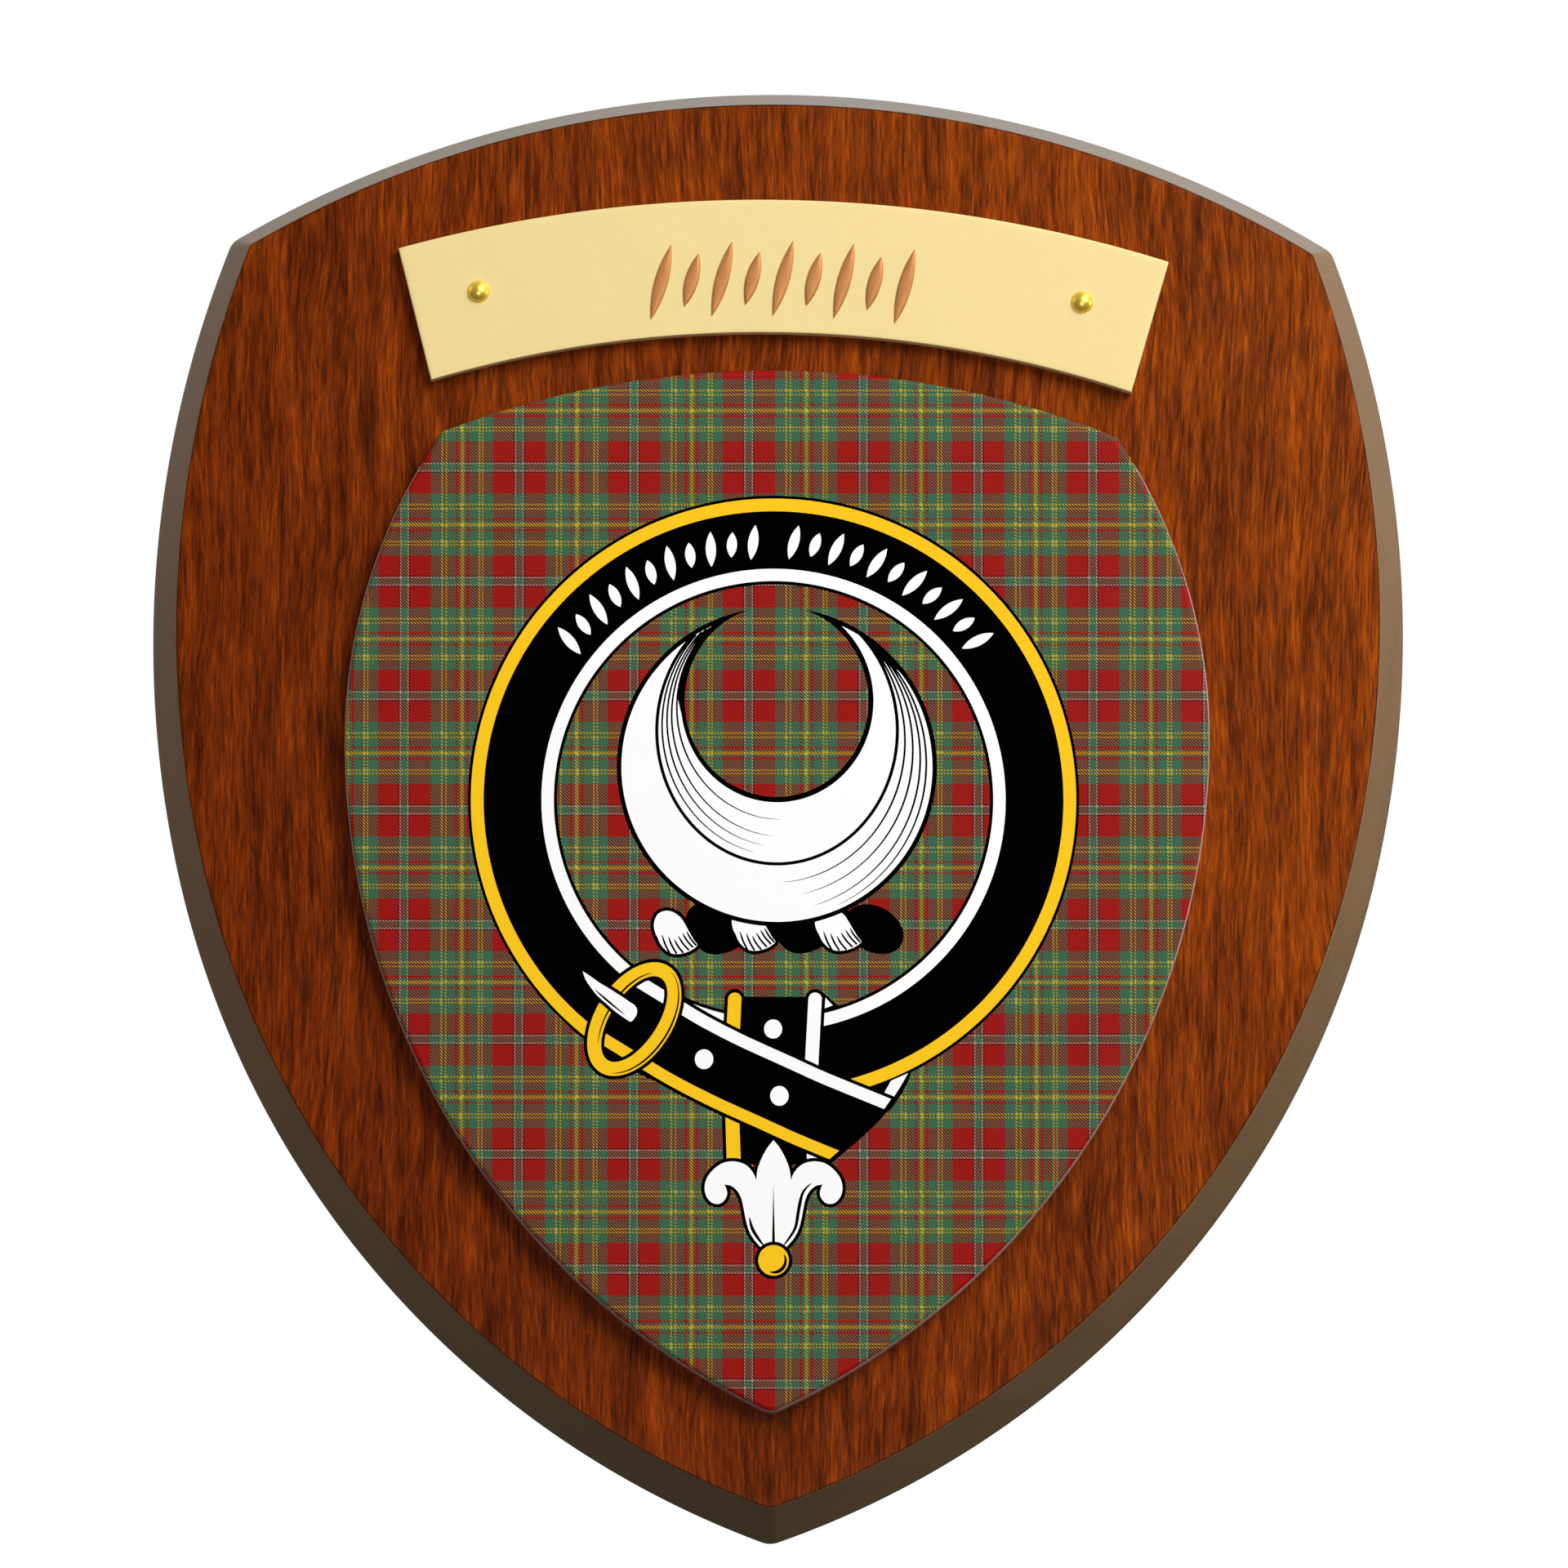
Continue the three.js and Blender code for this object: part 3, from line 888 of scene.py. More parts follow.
@dataclass(frozen=True)
class PrintInk(Finish):
    """One flat ink of the badge, with the faintest unevenness of print."""

    colour: tuple = linear(255, 255, 255)
    uneven: float = 0.03
    weakest: float = 0.97

    def build(self, effects: Effects) -> Material:
        """Makes the material.

        Args:
            effects: the shared groups.

        Returns:
            The material.
        """
        material, sheet, shader, place = self.start()
        speckle = effects.speckle(sheet, place, 900.0, 150.0, self.uneven)
        weaker = tuple(self.weakest * c for c in self.colour[:3]) + (1.0,)
        sheet.feed(shader, {
            "Base Color": sheet.blend(sheet.between(speckle, -0.06, 0.06), weaker, self.colour),
            "Roughness": sheet.maths("ADD", speckle, self.roughness),
        })
        return material


# ---------------------------------------------------------------- the board


@dataclass(frozen=True)
class Keyhole:
    """The slot in the back: a round mouth, a narrow neck above it, and a wide channel behind."""

    entry: float = 50.9
    radius: float = 4.75
    neck: float = 2.5
    travel: float = 10.0
    lip: float = 3.0
    depth: float = 8.0
    eased: float = 0.25

    def edge(self, angles: Array, neck: float, grow: float = 0.0) -> Array:
        """The slot's edge: in each direction from the mouth's centre the mouth's circle, or the
        neck's straight side or round end where that is further.

        Args:
            angles: measured from straight up.
            neck: half the width above the mouth.
            grow: how far outside the slot it runs.

        Returns:
            The points.
        """
        across, up = np.abs(np.sin(angles)), np.cos(angles)
        side = neck / np.maximum(across, TINY)
        end = self.travel * up + np.sqrt(np.maximum(neck**2 - (self.travel * across) ** 2, 0))
        slot = np.where(side * up <= self.travel, side, end)
        reach = np.maximum(np.where(up > 0, slot, 0), self.radius) + grow
        return np.array([0, self.entry]) + reach[:, None] * np.stack([np.sin(angles), np.cos(angles)], axis=1)


@dataclass
class Board:
    """The shield of wood: veneer on the front, a painted bevel, and a back with a keyhole slot."""

    arcs: ShieldArcs = ShieldArcs(152.4, 88.9, 177.8, 22.0, 129.0, 132.0, math.radians(13), 3.0)
    thickness: float = 15.0
    bevel_run: float = 3.05
    bevel_slope: float = 77.3
    front_drop: float = 0.22
    arris: float = 0.35
    inner_round: float = 0.9
    inner_tip: float = 2.2
    corner_round: float = 2.4
    tip_round: float = 3.0
    back_round: float = 0.3
    middle: float = 10.0
    flat_shares: tuple[float, ...] = (0.1, 0.35, 0.6, 0.8, 0.92, 0.985)
    slope_shares: tuple[float, ...] = (0.12, 0.3, 0.5, 0.7, 0.88)
    back_shares: tuple[float, ...] = (0.04, 0.3, 0.6, 0.85, 1.0)
    worn_flat: float = 0.12
    worn_arris: tuple[float, ...] = (0.45, 0.7, 1.0, 1.0, 0.8, 0.5, 0.3)
    veneer_past_flat: int = 3
    sheen_from: float = 0.68
    keyhole: Keyhole = Keyhole()

    def rings(self) -> tuple[Array, list[int], Array]:
        """One profile carried round the shield: out over the front, round the arris, down the
        bevel, round the back edge, in over the back to the keyhole, and down into its pocket.

        Returns:
            The rings, the finish of each band, and how near each ring is to the worn front rim.
        """

        def front_line(inset: float) -> Array:
            """The front's outline, which lies a little low."""
            return self.arcs.outline(inset, self.inner_round, self.inner_tip) - [0.0, self.front_drop]

        def back_line(inset: float) -> Array:
            """The back's outline."""
            return self.arcs.outline(inset, self.corner_round, self.tip_round)

        front, run = -self.thickness, self.bevel_run + self.arris
        middle, rim = np.array([0.0, self.middle]), front_line(run)
        flat = [in_depth(middle + share * (rim - middle), front) for share in self.flat_shares]
        edge = [
            in_depth(front_line(run - self.arris * math.sin(a)), front + self.arris * (1 - math.cos(a)))
            for a in np.radians(np.linspace(0, self.bevel_slope, len(self.worn_arris)))
        ]
        fold = rounded(back_line, self.back_round, 0.0, 5, way=-1)
        slope = [edge[-1] + share * (fold[0] - edge[-1]) for share in self.slope_shares]
        last = fold[-1][:, [0, 2]]
        key = self.keyhole
        angles = np.arctan2(last[:, 0], last[:, 1] - key.entry)
        mouth, channel = key.edge(angles, key.neck), key.edge(angles, key.radius)
        opening = key.edge(angles, key.neck, key.eased)
        back = [in_depth(last + share * (opening - last), 0) for share in self.back_shares]
        depths = ((mouth, key.eased), (mouth, key.lip), (channel, key.lip), (channel, key.depth))
        pocket = [in_depth(line, -depth) for line, depth in depths]
        rings = np.stack([*flat, *edge, *slope, *fold, *back, *pocket])
        veneer, paint, bare = range(3)
        slots = [veneer] * (len(flat) + self.veneer_past_flat)
        slots += [paint] * (len(edge) + len(slope) + len(fold) - 1 - self.veneer_past_flat)
        slots += [bare] * (len(rings) - 1 - len(slots))
        near = np.zeros(len(rings))
        near[len(flat) - 1] = self.worn_flat
        near[len(flat) : len(flat) + len(edge)] = self.worn_arris
        return rings, slots, near

    def build(self, finishes: Sequence[Material]) -> None:
        """Makes the board, with the marks for the worn rim and for the painted sheen on the upward-facing
        bevel.

        Args:
            finishes: the front's, the bevel's and the back's material.
        """
        rings, slots, near = self.rings()
        key, poles = self.keyhole, [0.0, 0.0]
        skin = Skin()
        skin.add_rings(rings, slots, ((0, -self.thickness, self.middle), (0, -key.depth, key.entry)))
        rim = np.concatenate([np.repeat(near, rings.shape[1]), poles])
        # painted sheen: the bevel is greyed where it faces up, in place of its reflection of the room above
        up = facing_up(self.arcs.outline(0, self.corner_round, self.tip_round))
        painted_sheen = np.clip((up - self.sheen_from) / (1 - self.sheen_from), 0, 1)
        sheen_amount = np.concatenate([np.tile(painted_sheen, len(rings)), poles])
        piece = skin.make("shield_board", crease=35, marks={"rim": rim, "sheen_amount": sheen_amount})
        dress(piece, finishes, "board")


# ---------------------------------------------------------------- the printed panel


class Ink(IntEnum):
    """What a spot of the panel's front wears, as the number of its finish."""

    TARTAN = 0
    BLACK = 1
    WHITE = 2
    GOLD = 3
    EDGE = 4


BLACK, WHITE, GOLD = Ink.BLACK, Ink.WHITE, Ink.GOLD


class Shape:
    """One shape of the badge: loops filled with an ink. A loop the other way round is a hole."""

    def __init__(self, ink: Ink, *loops: Array | Sequence[Point]) -> None:
        """Keeps the ink and the loops."""
        self.ink, self.loops = ink, [np.asarray(loop, float) for loop in loops]


@dataclass(frozen=True)
class PrintLay:
    """How the print lies on the panel: its middle, its small turn, and its stretch upwards."""

    middle: tuple[float, float] = (-0.37, -0.06)
    turn: float = math.radians(0.516)
    stretch: float = 1.004

    def place(self, points: Array) -> Array:
        """Takes points of the drawing, (across, up) from the badge's middle, to the panel's (x, z)."""
        return np.asarray(self.middle) + turned(points * [1, self.stretch], self.turn)

    def coordinates(self, sheet: Sheet, place: Socket) -> tuple[Socket, Socket]:
        """The drawing's own coordinates inside a material.

        Args:
            sheet: the material's sheet.
            place: the object coordinates, in metres.

        Returns:
            How far across and how far down a point lies, in millimetres.
        """
        c, s = math.cos(self.turn) / METRE, math.sin(self.turn) / METRE
        parts = sheet.put("SeparateXYZ", {0: place}).outputs
        x, z = (sheet.maths("SUBTRACT", parts[axis], at * METRE) for axis, at in zip("XZ", self.middle))
        across = sheet.maths("MULTIPLY_ADD", x, c, sheet.maths("MULTIPLY", z, s))
        up = sheet.maths("MULTIPLY_ADD", z, c, sheet.maths("MULTIPLY", x, -s))
        return across, sheet.maths("MULTIPLY", up, -1 / self.stretch)


@dataclass
class StrapBadge:
    """The drawing of the badge: a buckled strap round a crescent on a twisted wreath. Sizes are in
    millimetres from the strap's centre, and shapes come in the order that they are painted."""

    strap_rings: tuple = (
        (BLACK, 37.0), (GOLD, 36.65), (BLACK, 35.1), (WHITE, 28.1), (BLACK, 26.6), (Ink.TARTAN, 26.2),
    )
    line: float = 0.42
    thick_pen: float = 0.4
    thin_pen: float = 0.24
    stroke_circle: float = 31.4
    stroke_rows: tuple = ((142.0, 94.5, 11), (85.5, 38.0, 11))
    stroke_lengths: tuple[float, float] = (4.3, 3.1)
    stroke_width: float = 1.25
    stroke_lean: float = math.radians(12)
    strap_end: tuple = (
        (-19.1, -25.1), (-14.9, -27.67), (-10.6, -30.28), (-5.7, -32.82), (0.0, -35.42),
        (3.8, -37.16), (6.8, -38.42), (9.5, -39.52), (13.2, -41.02),
    )
    strap_starts: tuple[float, float] = (-19.0, -19.0)
    buckle: tuple[float, float] = (-16.84, -26.6)
    buckle_tilt: float = math.radians(57)
    buckle_outer: tuple[float, float] = (7.64, 4.63)
    buckle_inner: tuple[float, float] = (5.92, 2.83)
    buckle_lines: tuple = (((7.3, 4.3), 196, 156), ((6.3, 3.2), 22, 120))
    slit_width: float = 0.26
    fold: tuple = (
        (16.63, -33.08), (16.33, -33.99), (15.72, -35.21), (14.96, -36.43), (13.74, -37.8), (11.8, -37.4),
    )
    fold_arc: tuple = ((0, 0), 36.8, math.radians(-73), math.radians(-63.3), 12)
    fold_patches: tuple = (
        (WHITE, ((14.2, -34.07), (16.25, -33.16), (15.45, -34.6), (14.53, -36.05), (13.36, -35.59))),
        (BLACK, ((5.6, -23.1), (6.1, -23.45), (7.8, -24.95), (7.4, -25.6), (5.7, -25.8))),
        (WHITE, ((6.27, -24.0), (7.16, -24.93), (6.2, -25.3))),
        (BLACK, ((-4.2, -23.9), (4.6, -23.9), (4.9, -36.0), (-5.2, -36.0))),
    )
    bars: tuple = ((GOLD, (-4.68, -24.2), (-4.98, -30.0)), (WHITE, (5.03, -24.2), (4.4, -36.0)))
    bar_half: float = 0.82
    tail_patches: tuple = (
        (BLACK, ((-6.3, -37.0), (5.9, -37.0), (5.9, -44.2), (-6.05, -44.2))),
        (GOLD, ((-5.85, -37.5), (-4.2, -37.5), (-3.95, -44.0), (-5.65, -44.0))),
        (WHITE, ((4.0, -42.0), (5.5, -42.0), (5.5, -44.0), (4.05, -44.0))),
    )
    eyelets: tuple = ((-8.4, -31.46), (0.71, -35.9))
    eyelet_radii: tuple[float, float] = (1.12, 1.2)
    loop_eyelet: tuple = ((-0.05, -27.8), (1.1, 1.16))
    under_buckle: tuple[float, float] = (8.02, 5.01)
    end_field: tuple = ((-5.2, 5.2), (8.9, 13.05))
    end_lines: tuple = ((WHITE, (3.33, 4.78), (12.12, 12.42)), (GOLD, (-4.78, -3.38), (8.55, 9.2)))
    end_bulge: tuple = ((8.26, -42.97), (10.09, -41.45), (12.22, -39.47), (13.74, -37.8))
    disc: tuple[float, float] = (0.41, 4.02)
    disc_radii: tuple[float, float] = (19.38, 18.83)
    bite_edge: tuple = ((0.37, 12.0), (11.13, 11.65))
    white_edge: tuple = ((0.43, 12.0), (11.68, 12.3))
    middle_line: tuple = ((0.43, 8.42), (14.57, 16.2))
    bite_lines: tuple = ((272, (0.09, 0.28)), (268, (0.27, 0.55)), (264, (0.48, 0.71)), (259, (0.73, 0.85)))
    disc_lines: tuple = ((-88, (0.16, 0.32)), (-80, (0.37, 0.56)), (-76, (0.56, 0.8)), (-67, (0.75, 0.93)))
    wedge_radii: tuple[float, float] = (19.3, 19.3)
    right_wedge: tuple = (
        (5.0, 22.75), (7.6, 21.6), (9.4, 20.75), (10.6, 19.9), (11.9, 18.5), (13.6, 16.6),
        (15.05, 15.75), (16.4, 14.0), (17.4, 12.4), (18.2, 10.9),
    )
    left_wedge: tuple = (
        (-11.0, 9.8), (-11.35, 11.2), (-11.6, 12.6), (-11.35, 14.3), (-10.85, 16.0), (-10.15, 17.7),
        (-9.2, 19.3), (-8.38, 20.45), (-6.6, 21.7),
    )
    twists: tuple = (
        (BLACK, (-7.3, -15.7), (3.4, 3.05)), (BLACK, (2.9, -15.8), (3.2, 2.85)),
        (WHITE, (-11.9, -16.1), (2.62, 2.62)), (WHITE, (-2.47, -15.7), (2.62, 2.62)),
        (WHITE, (7.76, -15.7), (2.8, 2.62)),
    )
    last_twist: tuple = ((12.2, -15.7), (3.75, 2.75), math.radians(-30))
    wreath_back: tuple = ((-8.5, -16.6), (9.0, -16.4), (9.8, -13.4), (-8.5, -13.6))
    lobe: tuple = (
        (-0.94, 0.59), (-0.78, 0.87), (-0.46, 1.0), (-0.09, 0.94), (0.26, 0.68), (0.48, 0.34),
        (0.67, -0.01), (0.89, -0.39), (1.02, -0.59), (0.73, -0.83), (0.35, -0.97), (-0.02, -1.0),
        (-0.34, -0.89), (-0.65, -0.58), (-0.87, -0.14), (-0.98, 0.24),
    )
    lobe_bow: tuple[float, float] = (0.08, 0.05)
    lobe_lines: tuple = (
        ((-0.87, -0.14), (-0.62, -0.71)), ((-0.62, -0.08), (-0.24, -0.99)), ((-0.32, -0.17), (0.07, -0.99)),
        ((-0.05, -0.3), (0.38, -0.95)), ((0.13, -0.14), (0.64, -0.83)), ((0.32, -0.01), (0.83, -0.7)),
        ((0.51, 0.08), (0.98, -0.61)),
    )
    petal: tuple = (
        (2.1, -46.1), (2.42, -45.3), (3.1, -44.45), (4.0, -43.97), (5.1, -43.83), (6.2, -44.06),
        (7.2, -44.75), (8.0, -45.75), (8.33, -46.9), (8.14, -48.0), (7.5, -48.78), (6.7, -48.98),
        (6.05, -48.66), (5.63, -47.95), (5.68, -47.2), (5.93, -46.62),
    )
    stem: tuple = (
        (5.93, -46.62), (5.1, -46.8), (4.35, -47.45), (3.86, -48.42), (3.6, -49.6), (3.37, -50.8),
        (3.03, -52.05), (2.45, -53.15), (1.57, -54.2),
    )
    tip: tuple = ((0.0, -41.25), (0.74, -42.18), (1.43, -43.43), (1.92, -44.75), (2.1, -46.1))
    spine: tuple = ((-0.02, -46.3), (-0.2, -54.5), (0.2, -54.5))
    veins: tuple = (
        ((4.6, -46.4), (3.55, -47.6), (3.05, -49.6), (2.65, -51.8), (1.75, -53.3), (1.1, -54.1)),
        ((-2.95, -50.5), (-2.55, -52.0), (-1.75, -53.3), (-1.1, -54.1)),
    )
    ball: tuple[float, float] = (0.0, -55.8)
    ball_radii: tuple[float, float] = (1.85, 1.85)
    ball_line: tuple = ((1.45, 1.45), 0.0, math.radians(250), math.radians(142), 50)
    prong: tuple = (
        (-23.08, -20.8), (-22.2, -21.37), (-21.06, -22.19), (-19.8, -22.94), (-18.41, -23.83),
        (-17.4, -24.52), (-16.77, -24.96), (-16.5, -25.53), (-16.58, -26.1), (-16.9, -26.6),
        (-17.28, -26.92), (-18.03, -26.47), (-19.17, -25.66), (-20.18, -24.77), (-21.31, -23.76),
        (-22.2, -22.63), (-22.77, -21.74), (-23.08, -20.8),
    )
    slit: tuple = ((-21.7, -22.95), (-20.4, -24.1), (-19.2, -25.1), (-17.95, -26.1))

    def shapes(self) -> list[Shape]:
        """All shapes, the lowest first."""
        rings = [Shape(ink, ellipse((0, 0), (r, r), steps=300)) for ink, r in self.strap_rings]
        crest = self.motto() + self.wreath() + self.crescent()
        return rings + crest + self.strap() + self.finial() + self.clasp()

    def outlined(self, ink: Ink, loop: Array) -> list[Shape]:
        """A filled shape over a black one that stands out all round it."""
        return [Shape(BLACK, shifted(loop, self.line, closed=True)), Shape(ink, loop)]

    def motto(self) -> list[Shape]:
        """Leaning pen strokes that stand for an inscription, on the strap's upper arc.

        Returns:
            White lenses, their middles on a circle, long and short by turns in two rows.
        """
        found = []
        for row in self.stroke_rows:
            for number, angle in enumerate(np.radians(np.linspace(*row))):
                centre = self.stroke_circle * np.array([math.cos(angle), math.sin(angle)])
                size = (self.stroke_lengths[number % 2], self.stroke_width)
                found.append(Shape(WHITE, lens(centre, *size, RIGHT_ANGLE - angle + self.stroke_lean)))
        return found

    def wreath(self) -> list[Shape]:
        """The wreath of six twists, white and black by turns, with fine lines on the white ones. A
        twist is one slanting lobe, stretched to its width and height.

        Returns:
            Its shapes.
        """
        found = [Shape(BLACK, ellipse(*self.last_twist, steps=70)), Shape(BLACK, self.wreath_back)]
        for ink, centre, reach in self.twists:
            body = smooth_loop(np.asarray(self.lobe) * reach + centre, 5)[::-1]
            if ink is BLACK:
                found.append(Shape(ink, body))
                continue
            found += self.outlined(ink, body)
            for line in self.lobe_lines:
                first, last = np.array(line) * reach + centre
                path = smooth((first, (first + last) / 2 - self.lobe_bow, last), 5)
                found.append(Shape(BLACK, tapered(path, self.thin_pen, 0.0, 1.0)))
        return found

    def crescent(self) -> list[Shape]:
        """The crescent: a disc less a tall ellipse. Its pen lines run between three curves of the
        same angle, the bite's edge, a middle line and the disc's edge.

        Returns:
            Its shapes.
        """
        found = []
        for ink, radius, bite in zip((BLACK, WHITE), self.disc_radii, (self.bite_edge, self.white_edge)):
            disc = ellipse(self.disc, (radius, radius), start=RIGHT_ANGLE, steps=360)
            hole = ellipse(*bite, start=RIGHT_ANGLE, steps=360)
            rim, hollow = disc[winding(disc, hole) == 0], hole[winding(hole, disc) != 0]
            found.append(Shape(ink, np.vstack([rim, hollow[::-1]])))
        black, white = (shape.loops[0] for shape in found)
        disc_edge = (self.disc, self.disc_radii[1:] * 2)
        whole = (self.middle_line, disc_edge)
        found.append(self.pen_line(black, whole, (50, -230), (0, 0), self.thick_pen, 1.0))
        for curves, start, width, lines in (
            ((self.white_edge, self.middle_line), 128, 0.22, self.bite_lines),
            (whole, 46, self.thin_pen, self.disc_lines),
        ):
            for end, shares in lines:
                found.append(self.pen_line(white, curves, (start, end), shares, width, 0.0))
        rim = (self.disc, self.wedge_radii)
        wedges = ((rim, 22, 58, self.right_wedge), (self.bite_edge, 122, 66, self.left_wedge))
        for curve, start, sweep, wedge in wedges:
            edge = ellipse(*curve, start=math.radians(start), sweep=math.radians(sweep), steps=40)
            found.append(Shape(BLACK, np.vstack([edge, smooth(wedge)])))
        return found

    @staticmethod
    def pen_line(
        within: Array, curves: tuple, angles: Point, shares: Point, width: float, tail: float
    ) -> Shape:
        """A pen line between two ellipses: at each angle it lies at a share of the way from a point
        of the first one to a point of the second one, and the share changes evenly.

        Args:
            within: the loop that it stays inside.
            curves: the two ellipses, each as its centre and half axes.
            angles: where it starts and ends, in degrees.
            shares: the share at its start and at its end.
            width: its widest width.
            tail: how full it ends.

        Returns:
            The shape.
        """
        start, end = np.radians(angles)
        near, far = (ellipse(*curve, start=start, sweep=end - start, steps=110) for curve in curves)
        path = near + np.linspace(*shares, len(near))[:, None] * (far - near)
        return Shape(BLACK, tapered(path[winding(path, within) != 0], width, 1.0, tail))

    def band(self, sides: Point, ends: Point, tip: Sequence[Point] = ()) -> Array:
        """A strip along the strap's loose end: its middle line moved to two distances, each one cut
        at its own places.

        Args:
            sides: the lower and the upper edge's distance from the middle line, below zero below it.
            ends: where the lower and the upper edge end, by x on the middle line.
            tip: points of a bulging end, from the lower edge to the upper one.

        Returns:
            A closed loop, counter-clockwise.
        """
        middle = smooth(self.strap_end, 16)
        low, high = (
            shifted(np.stack([x, np.interp(x, *middle.T)], axis=1), -distance)
            for distance, x in zip(sides, np.linspace(self.strap_starts, ends, 60).T)
        )
        if len(tip):
            low = np.vstack([low, smooth([low[-1], *tip, high[-1]])[1:-1]])
        return np.vstack([low, high[::-1]])

    def strap(self) -> list[Shape]:
        """The strap below: the upright loop, the loose end across it, and its eyelets.

        Returns:
            The shapes.
        """
        found = [Shape(BLACK, np.vstack([arc(*self.fold_arc), smooth(self.fold)]))]
        found += [Shape(ink, points) for ink, points in self.fold_patches]
        for ink, top, low in self.bars:
            crown = arc(top, self.bar_half, 0, math.pi, 18)
            foot = [[low[0] - self.bar_half, low[1]], [low[0] + self.bar_half, low[1]]]
            found += self.outlined(ink, np.vstack([foot, crown]))
        found += [Shape(ink, points) for ink, points in self.tail_patches]
        return [
            *found,
            Shape(WHITE, ellipse(*self.loop_eyelet, steps=40)),
            Shape(BLACK, ellipse(self.buckle, self.under_buckle, self.buckle_tilt, steps=160)),
            Shape(BLACK, self.band(*self.end_field, self.end_bulge)),
            *(Shape(ink, self.band(sides, ends)) for ink, sides, ends in self.end_lines),
            *(Shape(WHITE, ellipse(eyelet, self.eyelet_radii, steps=40)) for eyelet in self.eyelets),
        ]

    def finial(self) -> list[Shape]:
        """The strap's metal tip: three petals over a ball, the same on both sides.

        Returns:
            The shapes.
        """
        tip, petal, stem = (smooth(points, 5) for points in (self.tip, self.petal, self.stem))
        right = np.vstack([tip[:-1], petal[:-1], stem])[::-1]
        return [
            *self.outlined(WHITE, np.vstack([right, (right[:-1] * [-1, 1])[::-1]])),
            Shape(BLACK, self.spine),
            *(Shape(BLACK, tapered(smooth(vein), self.thick_pen)) for vein in self.veins),
            *self.outlined(GOLD, ellipse(self.ball, self.ball_radii, steps=60)),
            Shape(BLACK, tapered(ellipse(self.ball, *self.ball_line), self.line)),
        ]

    def clasp(self) -> list[Shape]:
        """The buckle: an oval ring over the strap, and its prong over the ring.

        Returns:
            The shapes.
        """
        tilt = self.buckle_tilt
        found = []
        for ink, grown in ((BLACK, self.line), (GOLD, 0.0)):
            outer = ellipse(self.buckle, np.add(self.buckle_outer, grown), tilt, steps=160)
            inner = np.subtract(self.buckle_inner, grown)
            found.append(Shape(ink, outer, ellipse(self.buckle, inner, tilt, sweep=-FULL_TURN, steps=160)))
        for radii, start, sweep in self.buckle_lines:
            path = ellipse(self.buckle, radii, tilt, math.radians(start), math.radians(sweep), 60)
            found.append(Shape(BLACK, tapered(path, self.thin_pen)))
        found += self.outlined(WHITE, smooth(self.prong, 4)[::-1][:-1])
        return [*found, Shape(BLACK, tapered(smooth(self.slit), self.slit_width))]


@dataclass
class TartanPanel:
    """The raised panel: a pale board with rounded edges, its front printed with tartan and badge."""

    arcs: ShieldArcs = ShieldArcs(104.8, 52.5, 126.9, 7.5, 111.0, 66.0, 0.0, 2.5)
    back: float = -15.0
    thickness: float = 3.0
    edge_round: float = 0.7
    corner_round: float = 1.2
    tip_round: float = 2.5
    middle: float = 10.0
    pale_share: float = 0.2
    printed_over: float = 0.5
    lay: PrintLay = PrintLay()
    badge: StrapBadge = field(default_factory=StrapBadge)

    def outline(self, inset: float) -> Array:
        """The panel's outline, drawn in, with its rounds drawn in as much."""
        return self.arcs.outline(inset, self.corner_round - inset, self.tip_round - inset)

    def sides(self) -> tuple[Array, Array]:
        """The side wall and the quarter-round at the front. The bare edge shows on a share of the
        round, but not along the top, where the print reaches over it.

        Returns:
            The rings from the back to the flat front, and the finish of each face of each band.
        """
        rounds = rounded(self.outline, self.edge_round, self.back - self.thickness, 11)
        loop = self.outline(0)
        wall_depth = self.edge_round - self.thickness
        walls = [in_depth(loop, self.back + share * wall_depth) for share in (0.0, 0.5)]
        pale = np.where(facing_up(loop) > self.printed_over, 0.0, self.pale_share)
        insets = 1 - np.cos(np.linspace(0, RIGHT_ANGLE, len(rounds))[1:])
        shares = np.concatenate([np.full(len(walls), -1.0), insets])
        slots = np.where(shares[:, None] <= pale, int(Ink.EDGE), int(Ink.TARTAN))
        return np.stack([*walls, *rounds]), slots

    def front(self) -> tuple[Array, Array, Array]:
        """The flat front, cut along every line of the drawing. A triangle wears the ink of the last
        shape that its middle lies in.

        Returns:
            Its points, its triangles and the finish of each one.
        """
        shapes = self.badge.shapes()
        placed = [(shape.ink, [self.lay.place(loop) for loop in shape.loops]) for shape in shapes]
        border = self.outline(self.edge_round)
        corners, triangles = cut_plane([border, *(loop for _, loops in placed for loop in loops)])
        middles = corners[triangles].mean(axis=1)
        inks = np.full(len(triangles), int(Ink.TARTAN))
        for ink, loops in placed:
            both = np.vstack(loops)
            near = np.flatnonzero(np.all((middles >= both.min(0)) & (middles <= both.max(0)), axis=1))
            inside = sum(winding(middles[near], loop) for loop in loops) != 0
            inks[near[inside]] = int(ink)
        return in_depth(corners, self.back - self.thickness), triangles, inks

    def build(self, finishes: Sequence[Material]) -> None:
        """Makes the panel.

        Args:
            finishes: a material for each ink, in the order of Ink.
        """
        skin = Skin()
        skin.add_rings(*self.sides(), [(0, self.back, self.middle)])
        skin.add_triangles(*self.front())
        dress(skin.make("printed_panel", crease=25), finishes, "tartan_panel")


# ---------------------------------------------------------------- the name plate and its pins


